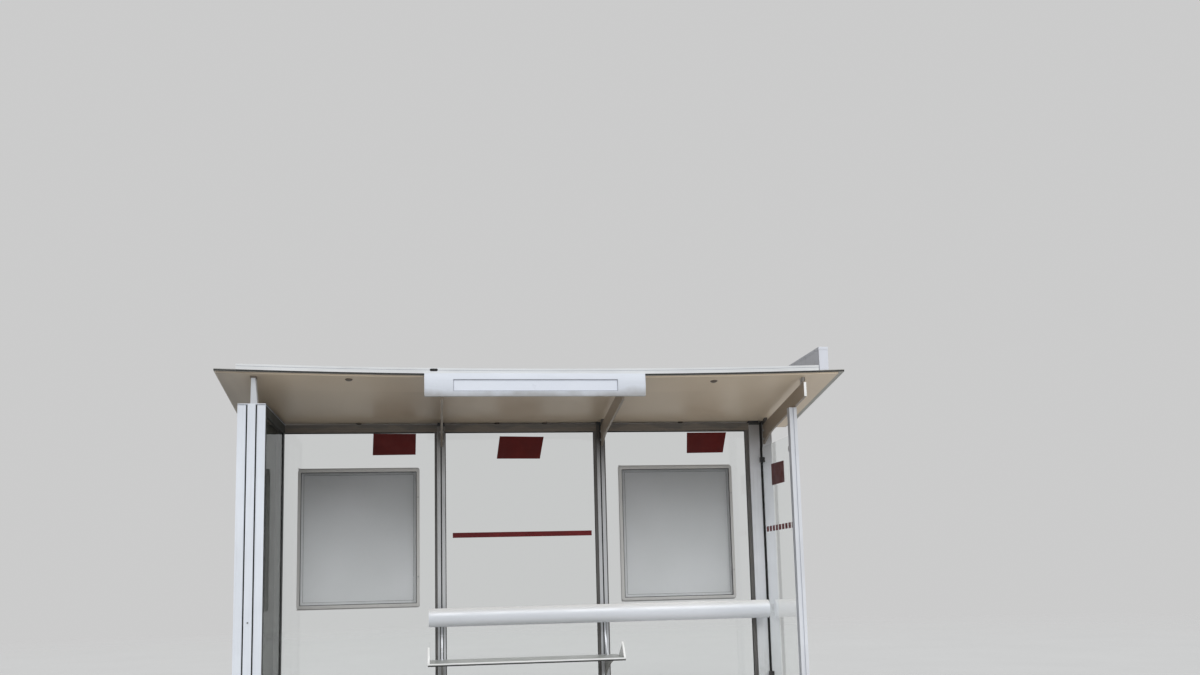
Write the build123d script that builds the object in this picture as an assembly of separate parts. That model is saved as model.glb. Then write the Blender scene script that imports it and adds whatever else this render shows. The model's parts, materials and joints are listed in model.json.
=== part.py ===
"""Bus shelter with a cantilevered roof, a glazed back wall, an end display box, two wall cases,
a leaning rail and a short seat. Millimetres, Z up, the street side towards -Y."""
from build123d import *
import os

# Plan. X runs along the shelter from the middle of post 2, Y from the posts' front faces into the depth.
BAY = 1250
SIDE_BAY = 1314
LEFT_BAY = 1270
POST_WIDTH = 60
POST_DEPTH = 80
POST_WALL = 4
POST_TOP = 2240
GROOVE_WIDTH = 10
GROOVE_DEPTH = 8
CAP_THICKNESS = 3
FIT = 0.3
PIN_PLAY = 0.1

# Corner post, two profiles with a seal between them
CORNER_INNER_WIDTH = 88
CORNER_OUTER_WIDTH = 77
CORNER_SEAL_WIDTH = 24

# Front post and side glass
FRONT_POST_SIZE = 56
FRONT_POST_OFFSET = 1
FRONT_POST_FACE = -869
SIDE_GLASS_TOP = 2035

# Feet
PLATE_THICKNESS = 12
PLATE_SIZE = 160
PLATE_BOLT_SPACING = 120
CORNER_PLATE_WIDTH = 280
CORNER_BOLT_SPACING = 220
FRONT_PLATE_SIZE = 130
FRONT_BOLT_SPACING = 95
BOLT_HOLE_RADIUS = 7

# Back wall
RAIL_HEIGHT = 60
RAIL_FRONT = 5
RAIL_DEPTH = 60
RAIL_STEP = 4
BOTTOM_RAIL_FOOT = 100
BOTTOM_RAIL_HEIGHT = 50
GLASS_THICKNESS = 8
GLASS_FRONT = 30

# Roof. The front edge is a shallow arc that hangs lower in the middle, the back edge is straight.
ROOF_LEFT_OVERHANG = 237
ROOF_RIGHT_OVERHANG = 312
ROOF_FRONT_OVERHANG = 97
ROOF_BACK_OVERHANG = 120
ROOF_RISE = 200
ROOF_CLEARANCE = 13
ROOF_SAG = 36
SOFFIT_THICKNESS = 12
SHEET_THICKNESS = 15
SOFFIT_LEFT_INSET = 14
SOFFIT_RIGHT_INSET = 46
SOFFIT_EDGE_INSET = 6
TRIM_WIDTH = 6

# Front edge strip and its seal
FASCIA_LEFT_INSET = 144
FASCIA_RIGHT_INSET = 190
FASCIA_HEIGHT = 36
FASCIA_THICKNESS = 15
SEAL_THICKNESS = 3

# Edge-on sign box on the roof
ROOF_BOX_INSET = 115
ROOF_BOX_THICKNESS = 67
ROOF_BOX_RISE = 165
ROOF_BOX_LENGTH = 900
ROOF_BOX_SETBACK = 4

# Header sign under the front edge
SIGN_OVERHANG = 115
SIGN_LENGTH = 1526
SIGN_DROP = 4
SIGN_HEIGHT = 156
SIGN_DEPTH = 44
SIGN_CURVE = 10
SIGN_END = 10
SIGN_PANEL_MARGIN = 195
SIGN_PANEL_TOP = 42
SIGN_PANEL_HEIGHT = 82
SIGN_PANEL_THICKNESS = 3
SIGN_BRACKET_WIDTH = 40
SIGN_BRACKET_REACH = 70
SIGN_BRACKET_THICKNESS = 5

# Cantilever arms
ARM_THICKNESS = 16
ARM_SETBACK = 33
ARM_GAP = 38
ARM_DEPTH = 112
ARM_TIP_CHAMFER = 8
ARM_FLARE = 330
ARM_FLARE_DEPTH = 122
ARM_ROOT_DEPTH = 156
ARM_2_OFFSET = 4
ARM_3_OFFSET = 12
SIDE_ARM_OFFSET = 24
SPACER_LENGTH = 48
SPACER_WIDTH = 22
SPACER_MARGIN = 32
PAD_RADIUS = 15

# End display box
BOX_FRONT = -1040
BOX_FOOT = 250
BOX_RISE = 3
BOX_BODY_WIDTH = 53
BOX_MEMBER = 50
BOX_PLATE = 6
DOOR_GAP = 7
DOOR_THICKNESS = 59
DOOR_REAR_GAP = 45
DOOR_CLEARANCE = 5
DOOR_MEMBER = 45
DOOR_LIP_WIDTH = 20
DOOR_LIP_THICKNESS = 5
DOOR_GLASS_THICKNESS = 6
DOOR_PIVOT_INSET = 12
DOOR_PIN_RADIUS = 5
DOOR_PIN_REACH = 20
DOOR_PIN_SPACE = 5
POSTER_THICKNESS = 2
POSTER_MARGIN = 15
LAMP_PANEL_THICKNESS = 16
LOCK_RADIUS = 6
LOCK_REACH = 3
LOCK_HEIGHT = 782
PLINTH_WIDTH = 120
PLINTH_INSET = 100
PLINTH_WALL = 5
BOX_PLATE_WIDTH = 190
BOX_PLATE_LENGTH = 900
BOX_BOLT_SPACING_X = 154
BOX_BOLT_SPACING_Y = 860
TOWER_OFFSET = 14
TOWER_WIDTH = 45
TOWER_TOP_WIDTH = 27
TOWER_DEPTH = 60
TOWER_LEAN = 45
TOWER_PAD = 4
TOWER_PAD_WIDTH = 40
REAR_STUD_RADIUS = 14
REAR_STUD_Y = -240

# Wall cases
CASE_WIDTH = 912
CASE_HEIGHT = 1066
CASE_FOOT = 836
CASE_1_OFFSET = -622
CASE_2_OFFSET = 596
CASE_CORNER = 18
TRAY_DEPTH = 25
TRAY_BACK = 3
TRAY_RIM = 20
TRAY_STANDOFF = 5
STANDOFF_RADIUS = 20
STANDOFF_INSET = 110
CASE_GAP = 5
CASE_DOOR_THICKNESS = 18
CASE_DOOR_MEMBER = 12
CASE_DOOR_LIP = 10
CASE_DOOR_LIP_THICKNESS = 6
CASE_GLASS_THICKNESS = 4
CASE_PIVOT_INSET = 9
CASE_PIN_RADIUS = 3
CASE_PIN_REACH = 15
CASE_PIN_SPACE = 3
LUG_THICKNESS = 5
LUG_LENGTH = 18
SHEET_PANEL_THICKNESS = 2

# Leaning rail
LEAN_OVERHANG = 98
LEAN_INSET = 29
LEAN_FOOT = 687
LEAN_HEIGHT = 138
LEAN_DEPTH = 62
LEAN_FRONT = -152
LEAN_FLAT = 12
LEAN_WALL = 4
LEAN_CAP = 6
LEAN_BRACKET_WIDTH = 44
LEAN_BRACKET_HEIGHT = 64

# Seat
SEAT_LEFT_OVERHANG = 104
SEAT_RIGHT_OVERHANG = 80
SEAT_FRONT = -500
SEAT_DEPTH = 450
SEAT_TOP = 442
SEAT_PLATE = 4
SEAT_LIP = 15
SEAT_END_HEIGHT = 110
SEAT_END_SETBACK = 105
SEAT_END_BOW = 14
SEAT_END_DEPTH = 320
SEAT_FLANGE = 14
GUSSET_THICKNESS = 12
GUSSET_SETBACK = 50
GUSSET_TIP = 12
GUSSET_ROOT = 150
GUSSET_BOW = 30
HANGER_HEAD = 18
HANGER_KNEE = 51
HANGER_KNEE_RISE = 100
HANGER_FOOT = 145
HANGER_RISE = 207

# Places that follow from the sizes above
POST_2_X = 0
POST_3_X = BAY
LEFT_POST_X = -LEFT_BAY
SIDE_PLANE = BAY + SIDE_BAY
CORNER_LEFT = SIDE_PLANE - CORNER_SEAL_WIDTH / 2 - CORNER_INNER_WIDTH
CORNER_RIGHT = SIDE_PLANE + CORNER_SEAL_WIDTH / 2 + CORNER_OUTER_WIDTH
CORNER_LEAN_X = CORNER_LEFT + CORNER_INNER_WIDTH / 2
FRONT_POST_X = SIDE_PLANE + FRONT_POST_OFFSET
ARM_2_X = POST_2_X + ARM_2_OFFSET
ARM_3_X = POST_3_X + ARM_3_OFFSET
SIDE_ARM_X = SIDE_PLANE + SIDE_ARM_OFFSET
ROOF_LEFT = LEFT_POST_X - ROOF_LEFT_OVERHANG
ROOF_RIGHT = SIDE_PLANE + ROOF_RIGHT_OVERHANG
ROOF_FRONT = BOX_FRONT - ROOF_FRONT_OVERHANG
ROOF_BACK = POST_DEPTH + ROOF_BACK_OVERHANG
ROOF_FRONT_HEIGHT = POST_TOP + ROOF_RISE
FASCIA_LEFT = ROOF_LEFT + FASCIA_LEFT_INSET
FASCIA_RIGHT = ROOF_RIGHT - FASCIA_RIGHT_INSET
ROOF_BOX_RIGHT = ROOF_RIGHT - ROOF_BOX_INSET
ROOF_TOP_RISE = SOFFIT_THICKNESS + SHEET_THICKNESS
ARM_END = ROOF_FRONT + ARM_SETBACK
BOX_TOP = POST_TOP + BOX_RISE
SIGN_LEFT = POST_2_X - SIGN_OVERHANG
SEAT_LEFT = POST_2_X - SEAT_LEFT_OVERHANG
SEAT_RIGHT = POST_3_X + SEAT_RIGHT_OVERHANG
SEAT_REAR = SEAT_FRONT + SEAT_DEPTH
LEAN_LEFT = POST_2_X - LEAN_OVERHANG
LEAN_RIGHT = SIDE_PLANE - LEAN_INSET
CASE_CENTRES = (POST_2_X + CASE_1_OFFSET, POST_3_X + CASE_2_OFFSET)
RAIL_FOOT = POST_TOP - RAIL_HEIGHT
GLASS_FOOT = BOTTOM_RAIL_FOOT + BOTTOM_RAIL_HEIGHT
POST_MIDDLE_Y = POST_DEPTH / 2
SIGN_FACE_BACK = ROOF_FRONT - SEAL_THICKNESS
ARM_REACH = ARM_GAP + ARM_DEPTH
SHIFT = Location((-(ROOF_LEFT + ROOF_RIGHT) / 2, -(SIGN_FACE_BACK - SIGN_DEPTH + ROOF_BACK) / 2, 0))


def block(x, y, z):
    """A box from three (low, high) pairs."""
    size = (x[1] - x[0], y[1] - y[0], z[1] - z[0])
    centre = ((x[0] + x[1]) / 2, (y[0] + y[1]) / 2, (z[0] + z[1]) / 2)
    return Pos(*centre) * Box(*size)


def prism_x(points, x_low, x_high):
    """A prism along X from a (y, z) outline."""
    outline = Polyline(*[(x_low, y, z) for y, z in points], close=True)
    return extrude(make_face(outline), amount=x_high - x_low, dir=(1, 0, 0))


def prism_y(points, y_low, y_high):
    """A prism along Y from an (x, z) outline."""
    outline = Polyline(*[(x, y_low, z) for x, z in points], close=True)
    return extrude(make_face(outline), amount=y_high - y_low, dir=(0, 1, 0))


def upright(x, y, radius, z_low, z_high):
    return Pos(x, y, (z_low + z_high) / 2) * Cylinder(radius, z_high - z_low)


def save(name, *solids):
    shape = solids[0] if len(solids) == 1 else Compound(children=list(solids))
    export_step(shape.moved(SHIFT), f"parts/{name}.step")


def front_height(x):
    """Underside of the roof at its front edge."""
    half = (ROOF_RIGHT - ROOF_LEFT) / 2
    off = (x - (ROOF_LEFT + ROOF_RIGHT) / 2) / half
    return ROOF_FRONT_HEIGHT - ROOF_SAG * (1 - off * off)


def back_height():
    """Underside of the roof at its back edge, set by its clearance over the posts at the roof's ends."""
    share = (POST_MIDDLE_Y - ROOF_FRONT) / (ROOF_BACK - ROOF_FRONT)
    return (POST_TOP + ROOF_CLEARANCE - ROOF_FRONT_HEIGHT * (1 - share)) / share


def under(x, y):
    """Underside of the roof."""
    share = (y - ROOF_FRONT) / (ROOF_BACK - ROOF_FRONT)
    return front_height(x) * (1 - share) + back_height() * share


def roof_outline(y, rise_low, rise_high, left, right, level):
    """Strip in the plane Y = y, arched along the front edge or straight along the back."""
    middle = (left + right) / 2
    places = (left, middle, right)
    heights = [level(x) for x in places]
    low = [(x, y, z + rise_low) for x, z in zip(places, heights)]
    high = [(x, y, z + rise_high) for x, z in zip(places, heights)]
    if abs(heights[1] - heights[0]) < FIT:
        edges = [Line(low[0], low[2]), Line(low[2], high[2]), Line(high[2], high[0])]
    else:
        edges = [ThreePointArc(*low), Line(low[2], high[2]), ThreePointArc(*reversed(high))]
    return make_face([*edges, Line(high[0], low[0])])


def roof_layer(rise_low, rise_high, left, right, front, back):
    """One layer of the roof, ruled from the arched front edge to the straighter back edge."""
    near = roof_outline(front, rise_low, rise_high, left, right, lambda x: under(x, front))
    far = roof_outline(back, rise_low, rise_high, left, right, lambda x: under(x, back))
    return loft([near, far], ruled=True)


def roof():
    left = ROOF_LEFT + SOFFIT_LEFT_INSET
    right = ROOF_RIGHT - SOFFIT_RIGHT_INSET
    front = ROOF_FRONT + SOFFIT_EDGE_INSET
    back = ROOF_BACK - SOFFIT_EDGE_INSET
    sheet = roof_layer(SOFFIT_THICKNESS, ROOF_TOP_RISE, ROOF_LEFT, ROOF_RIGHT, ROOF_FRONT, ROOF_BACK)
    save("roof_sheet", sheet)
    save("roof_soffit", roof_layer(0, SOFFIT_THICKNESS - FIT, left, right, front, back))
    trims = [
        roof_layer(0, SOFFIT_THICKNESS - FIT, left - TRIM_WIDTH - FIT, left - FIT, front, back),
        roof_layer(0, SOFFIT_THICKNESS - FIT, right + FIT, right + TRIM_WIDTH + FIT, front, back),
    ]
    save("roof_end_trims", *trims)
    return sheet


def front_edge(sheet):
    """The bright strip along the front edge, and the dark seal under it."""
    ends = (FASCIA_LEFT, FASCIA_RIGHT)
    face = ROOF_FRONT - SEAL_THICKNESS
    joint = ROOF_TOP_RISE - SEAL_THICKNESS
    strip = roof_outline(face, joint, ROOF_TOP_RISE + FASCIA_HEIGHT, *ends, front_height)
    save("front_fascia", extrude(strip, amount=FASCIA_THICKNESS, dir=(0, 1, 0)) - sheet)
    seal = roof_outline(face, SOFFIT_THICKNESS, joint, *ends, front_height)
    save("fascia_seal", extrude(seal, amount=SEAL_THICKNESS, dir=(0, 1, 0)))


def roof_box(sheet):
    """Thin box on the roof, level on top, seen edge-on from the street."""
    x = (ROOF_BOX_RIGHT - ROOF_BOX_THICKNESS, ROOF_BOX_RIGHT)
    front = ROOF_FRONT + ROOF_BOX_SETBACK
    rear = front + ROOF_BOX_LENGTH
    lift = SOFFIT_THICKNESS + SHEET_THICKNESS / 2
    top = ROOF_FRONT_HEIGHT + ROOF_TOP_RISE + ROOF_BOX_RISE
    outline = [
        (front, under(x[0], front) + lift),
        (front, top),
        (rear, top),
        (rear, under(x[0], rear) + lift),
    ]
    save("roof_sign_box", prism_x(outline, *x) - sheet)


def header_sign():
    """Housing with a bulging front, its end caps, its blank panel and the brackets behind it."""
    back = SIGN_FACE_BACK
    face = back - SIGN_DEPTH
    right = SIGN_LEFT + SIGN_LENGTH
    top = front_height((SIGN_LEFT + right) / 2) + ROOF_TOP_RISE - SIGN_DROP
    foot = top - SIGN_HEIGHT
    middle = top - SIGN_HEIGHT / 2
    flank = face + SIGN_CURVE

    def body(x_low, x_high, z_low, z_high):
        edges = [
            Line((x_low, back, z_low), (x_low, flank, z_low)),
            ThreePointArc((x_low, flank, z_low), (x_low, face, middle), (x_low, flank, z_high)),
            Line((x_low, flank, z_high), (x_low, back, z_high)),
            Line((x_low, back, z_high), (x_low, back, z_low)),
        ]
        return extrude(make_face(edges), amount=x_high - x_low, dir=(1, 0, 0))

    panel_x = (SIGN_LEFT + SIGN_PANEL_MARGIN, right - SIGN_PANEL_MARGIN)
    panel_z = (top - SIGN_PANEL_TOP - SIGN_PANEL_HEIGHT, top - SIGN_PANEL_TOP)
    pocket = block(panel_x, (face - SIGN_CURVE, flank + SIGN_PANEL_THICKNESS), panel_z)
    housing = body(SIGN_LEFT + SIGN_END, right - SIGN_END, foot, top)
    save("header_sign_housing", housing - pocket)
    save(
        "header_sign_end_caps",
        body(SIGN_LEFT, SIGN_LEFT + SIGN_END - FIT, foot, top),
        body(right - SIGN_END + FIT, right, foot, top),
    )
    save(
        "header_sign_panel",
        block(
            (panel_x[0] + FIT, panel_x[1] - FIT),
            (flank, flank + SIGN_PANEL_THICKNESS),
            (panel_z[0] + FIT, panel_z[1] - FIT),
        ),
    )
    brackets = []
    for low in (panel_x[0], panel_x[1] - SIGN_BRACKET_WIDTH):
        high = low + SIGN_BRACKET_WIDTH
        shelf_y = (back, back + SIGN_BRACKET_REACH)
        top = [min(under(low, y), under(high, y)) - FIT for y in shelf_y]
        outline = [
            (shelf_y[0], top[0] - SIGN_BRACKET_THICKNESS),
            (shelf_y[0], top[0]),
            (shelf_y[1], top[1]),
            (shelf_y[1], top[1] - SIGN_BRACKET_THICKNESS),
        ]
        brackets.append(prism_x(outline, low, high))
    save("header_sign_brackets", *brackets)


def arm(x, tip, root, seats):
    """Arm plate under the roof, flared where it meets the post, and the spacers that carry the roof."""
    low = x - ARM_THICKNESS / 2

    def level(y, drop):
        return min(under(x - SPACER_WIDTH / 2, y), under(x + SPACER_WIDTH / 2, y)) - drop

    def point(y, drop):
        return (low, y, level(y, ARM_GAP + drop))

    flare = root - ARM_FLARE
    bend = root - ARM_FLARE / 2
    edges = [
        Line(point(tip + ARM_TIP_CHAMFER, 0), point(root, 0)),
        Line(point(root, 0), point(root, ARM_ROOT_DEPTH)),
        ThreePointArc(point(root, ARM_ROOT_DEPTH), point(bend, ARM_FLARE_DEPTH), point(flare, ARM_DEPTH)),
        Line(point(flare, ARM_DEPTH), point(tip, ARM_DEPTH)),
        Line(point(tip, ARM_DEPTH), point(tip, ARM_TIP_CHAMFER)),
        Line(point(tip, ARM_TIP_CHAMFER), point(tip + ARM_TIP_CHAMFER, 0)),
    ]
    plate = extrude(make_face(edges), amount=ARM_THICKNESS, dir=(1, 0, 0))
    spacers = []
    for start in seats:
        end = start + SPACER_LENGTH
        seat = [(start, level(start, ARM_GAP)), (start, level(start, FIT))]
        seat += [(end, level(end, FIT)), (end, level(end, ARM_GAP))]
        spacers.append(prism_x(seat, x - SPACER_WIDTH / 2, x + SPACER_WIDTH / 2))
    return plate, spacers


def hollow_post(x_low, x_high, y_low, y_high, z_low, z_high, grooved=False):
    """Tube, with an upright groove in the middle of its street face where it is grooved."""
    tube = block((x_low, x_high), (y_low, y_high), (z_low, z_high))
    inner_front = y_low + GROOVE_DEPTH + POST_WALL
    tube -= block((x_low + POST_WALL, x_high - POST_WALL), (inner_front, y_high - POST_WALL), (z_low, z_high))
    if grooved:
        middle = (x_low + x_high) / 2
        groove_x = (middle - GROOVE_WIDTH / 2, middle + GROOVE_WIDTH / 2)
        tube -= block(groove_x, (y_low, y_low + GROOVE_DEPTH), (z_low, z_high))
    return tube


def post_pad(x, y):
    """Pad between a post's cap and the roof."""
    top = min(under(x - PAD_RADIUS, y + PAD_RADIUS), under(x + PAD_RADIUS, y + PAD_RADIUS)) - FIT
    return upright(x, y, PAD_RADIUS, POST_TOP, top)


def posts():
    foot = PLATE_THICKNESS
    top = POST_TOP - CAP_THICKNESS
    half = POST_WIDTH / 2
    caps = []
    pads = []
    for name, x in (("post_1", LEFT_POST_X), ("post_2", POST_2_X), ("post_3", POST_3_X)):
        save(name, hollow_post(x - half, x + half, 0, POST_DEPTH, foot, top, grooved=True))
        caps.append(block((x - half, x + half), (0, POST_DEPTH), (top, POST_TOP)))
        pads.append(post_pad(x, POST_MIDDLE_Y))
    inner = (CORNER_LEFT, CORNER_LEFT + CORNER_INNER_WIDTH)
    outer = (CORNER_RIGHT - CORNER_OUTER_WIDTH, CORNER_RIGHT)
    profiles = [hollow_post(*span, 0, POST_DEPTH, foot, top) for span in (inner, outer)]
    save("corner_post", *profiles)
    save("corner_post_seal", block((inner[1], outer[0]), (GROOVE_DEPTH, POST_DEPTH), (foot, top)))
    caps.append(block((CORNER_LEFT, CORNER_RIGHT), (0, POST_DEPTH), (top, POST_TOP)))
    pads.append(post_pad(CORNER_LEAN_X, POST_MIDDLE_Y))
    save("post_caps", *caps)
    size = FRONT_POST_SIZE
    front_x = (FRONT_POST_X - size / 2, FRONT_POST_X + size / 2)
    front_y = (FRONT_POST_FACE, FRONT_POST_FACE + size)
    post = hollow_post(*front_x, *front_y, foot, front_post_top(), grooved=True)
    save("front_post", post)
    return pads


def front_post_top():
    """The front post ends at the underside of the side arm."""
    rear = FRONT_POST_FACE + FRONT_POST_SIZE
    half = SPACER_WIDTH / 2
    return min(under(SIDE_ARM_X - half, rear), under(SIDE_ARM_X + half, rear)) - ARM_REACH


def arms(pads):
    seats = (ARM_END + SPACER_MARGIN, -SPACER_MARGIN - SPACER_LENGTH)
    spacers = list(pads)
    for name, x in (("arm_2", ARM_2_X), ("arm_3", ARM_3_X), ("arm_4", SIDE_ARM_X)):
        plate, stack = arm(x, ARM_END, 0, seats)
        if x == SIDE_ARM_X:
            size = FRONT_POST_SIZE
            front_x = (FRONT_POST_X - size / 2, FRONT_POST_X + size / 2)
            front_y = (FRONT_POST_FACE, FRONT_POST_FACE + size)
            plate -= block(front_x, front_y, (0, front_post_top()))
        save(name, plate)
        spacers.extend(stack)
    save("roof_spacers", *spacers)


def foot_plate(x, y, width, depth, spacing_x, spacing_y):
    plate = block((x - width / 2, x + width / 2), (y - depth / 2, y + depth / 2), (0, PLATE_THICKNESS))
    for side in (-1, 1):
        for end in (-1, 1):
            hole_x = x + side * spacing_x / 2
            hole_y = y + end * spacing_y / 2
            plate -= upright(hole_x, hole_y, BOLT_HOLE_RADIUS, 0, PLATE_THICKNESS)
    return plate


def feet():
    square = (PLATE_SIZE, PLATE_SIZE, PLATE_BOLT_SPACING, PLATE_BOLT_SPACING)
    corner = (CORNER_PLATE_WIDTH, PLATE_SIZE, CORNER_BOLT_SPACING, PLATE_BOLT_SPACING)
    front = (FRONT_PLATE_SIZE, FRONT_PLATE_SIZE, FRONT_BOLT_SPACING, FRONT_BOLT_SPACING)
    corner_x = (CORNER_LEFT + CORNER_RIGHT) / 2
    save(
        "foot_plates",
        foot_plate(LEFT_POST_X, POST_MIDDLE_Y, *square),
        foot_plate(POST_2_X, POST_MIDDLE_Y, *square),
        foot_plate(POST_3_X, POST_MIDDLE_Y, *square),
        foot_plate(corner_x, POST_MIDDLE_Y, *corner),
        foot_plate(FRONT_POST_X, FRONT_POST_FACE + FRONT_POST_SIZE / 2, *front),
    )


def back_wall():
    half = POST_WIDTH / 2
    bays = (
        (LEFT_POST_X + half, POST_2_X - half),
        (POST_2_X + half, POST_3_X - half),
        (POST_3_X + half, CORNER_LEFT),
    )
    rail_y = (RAIL_FRONT, RAIL_FRONT + RAIL_DEPTH)
    middle = POST_TOP - RAIL_HEIGHT / 2
    rail_outline = [
        (rail_y[0], POST_TOP),
        (rail_y[0], middle),
        (rail_y[0] + RAIL_STEP, middle),
        (rail_y[0] + RAIL_STEP, RAIL_FOOT),
        (rail_y[1], RAIL_FOOT),
        (rail_y[1], POST_TOP),
    ]
    save("top_rails", *[prism_x(rail_outline, *bay) for bay in bays])
    save("bottom_rails", *[block(bay, rail_y, (BOTTOM_RAIL_FOOT, GLASS_FOOT)) for bay in bays])
    for number, (low, high) in enumerate(bays, start=1):
        pane_x = (low + FIT, high - FIT)
        pane_y = (GLASS_FRONT, GLASS_FRONT + GLASS_THICKNESS)
        save(f"back_glass_{number}", block(pane_x, pane_y, (GLASS_FOOT, RAIL_FOOT - FIT)))


def side_wall():
    pane_x = (SIDE_PLANE - GLASS_THICKNESS / 2, SIDE_PLANE + GLASS_THICKNESS / 2)
    pane_y = (FRONT_POST_FACE + FRONT_POST_SIZE + FIT, -FIT)
    pane = block(pane_x, pane_y, (GLASS_FOOT, SIDE_GLASS_TOP))
    save("side_glass", pane)
    clamp = RAIL_HEIGHT * 2 / 3
    clamps = []
    for y in ((pane_y[0] - FIT, pane_y[0] + clamp), (pane_y[1] - clamp, pane_y[1] + FIT)):
        for z in (GLASS_FOOT + clamp * 2, SIDE_GLASS_TOP - clamp * 3):
            grip = block((SIDE_PLANE - clamp / 2, SIDE_PLANE + clamp / 2), y, (z, z + clamp))
            clamps.append(grip - pane)
    save("side_glass_clamps", *clamps)


def box_body():
    """Ring frame of the display box with the plates over and under its doors, and the door pins."""
    x = LEFT_POST_X
    half = BOX_BODY_WIDTH / 2
    full = half + DOOR_GAP + DOOR_THICKNESS
    y = (BOX_FRONT, 0)
    z = (BOX_FOOT, BOX_TOP)
    body = block((x - half, x + half), y, z)
    hole_y = (y[0] + BOX_MEMBER, y[1] - BOX_MEMBER)
    hole_z = (z[0] + BOX_MEMBER, z[1] - BOX_MEMBER)
    body -= block((x - half, x + half), hole_y, hole_z)
    body += block((x - full, x + full), y, (BOX_TOP - BOX_PLATE, BOX_TOP))
    body += block((x - full, x + full), y, (BOX_FOOT, BOX_FOOT + BOX_PLATE))
    pin_y = BOX_FRONT + DOOR_PIVOT_INSET
    for side in (-1, 1):
        pin_x = x + side * (half + DOOR_GAP + DOOR_PIVOT_INSET)
        low = BOX_FOOT + BOX_PLATE
        high = BOX_TOP - BOX_PLATE
        body += upright(pin_x, pin_y, DOOR_PIN_RADIUS, low, low + DOOR_CLEARANCE + DOOR_PIN_REACH)
        body += upright(pin_x, pin_y, DOOR_PIN_RADIUS, high - DOOR_CLEARANCE - DOOR_PIN_REACH, high)
    save("display_box_body", body)
    panel = LAMP_PANEL_THICKNESS / 2
    save(
        "display_box_lamp_panel",
        block((x - panel, x + panel), (hole_y[0] + FIT, hole_y[1] - FIT), (hole_z[0], hole_z[1] - FIT)),
    )
    lock = Pos(x, BOX_FRONT - LOCK_REACH / 2, LOCK_HEIGHT) * Rot(90, 0, 0) * Cylinder(LOCK_RADIUS, LOCK_REACH)
    save("display_box_lock", lock)
    poster_y = (hole_y[0] - POSTER_MARGIN, hole_y[1] + POSTER_MARGIN)
    poster_z = (hole_z[0] - POSTER_MARGIN, hole_z[1] + POSTER_MARGIN)
    for name, side in (("outer", -1), ("inner", 1)):
        sheet_x = sorted((x + side * half, x + side * (half + POSTER_THICKNESS)))
        save(f"poster_{name}", block(sheet_x, poster_y, poster_z))


def box_door(name, side):
    """Glazed door of the display box, closed, pivoting near its front edge."""
    near = BOX_BODY_WIDTH / 2 + DOOR_GAP
    far = near + DOOR_THICKNESS
    y = (BOX_FRONT, -DOOR_REAR_GAP)
    z = (BOX_FOOT + BOX_PLATE + DOOR_CLEARANCE, BOX_TOP - BOX_PLATE - DOOR_CLEARANCE)

    def span(low, high):
        return sorted((LEFT_POST_X + side * low, LEFT_POST_X + side * high))

    door = block(span(near, far), y, z)
    turned = [
        e for e in door.edges().filter_by(Axis.Z)
        if abs(e.center().X - (LEFT_POST_X + side * near)) < FIT and abs(e.center().Y - y[0]) < FIT
    ]
    door = fillet(turned, DOOR_PIVOT_INSET - FIT)
    lip = far - DOOR_LIP_THICKNESS
    hole_y = (y[0] + DOOR_MEMBER, y[1] - DOOR_MEMBER)
    hole_z = (z[0] + DOOR_MEMBER, z[1] - DOOR_MEMBER)
    door -= block(span(near, lip), hole_y, hole_z)
    sight_y = (hole_y[0] + DOOR_LIP_WIDTH, hole_y[1] - DOOR_LIP_WIDTH)
    sight_z = (hole_z[0] + DOOR_LIP_WIDTH, hole_z[1] - DOOR_LIP_WIDTH)
    door -= block(span(lip, far), sight_y, sight_z)
    pin_x = LEFT_POST_X + side * (near + DOOR_PIVOT_INSET)
    pin_y = BOX_FRONT + DOOR_PIVOT_INSET
    depth = DOOR_PIN_REACH + DOOR_PIN_SPACE
    for low in (z[0], z[1] - depth):
        door -= upright(pin_x, pin_y, DOOR_PIN_RADIUS + PIN_PLAY, low, low + depth)
    save(f"box_door_{name}", door)
    pane_z = (hole_z[0], hole_z[1] - FIT)
    pane = block(span(lip - DOOR_GLASS_THICKNESS, lip), (hole_y[0] + FIT, hole_y[1] - FIT), pane_z)
    save(f"box_door_glass_{name}", pane)


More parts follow.
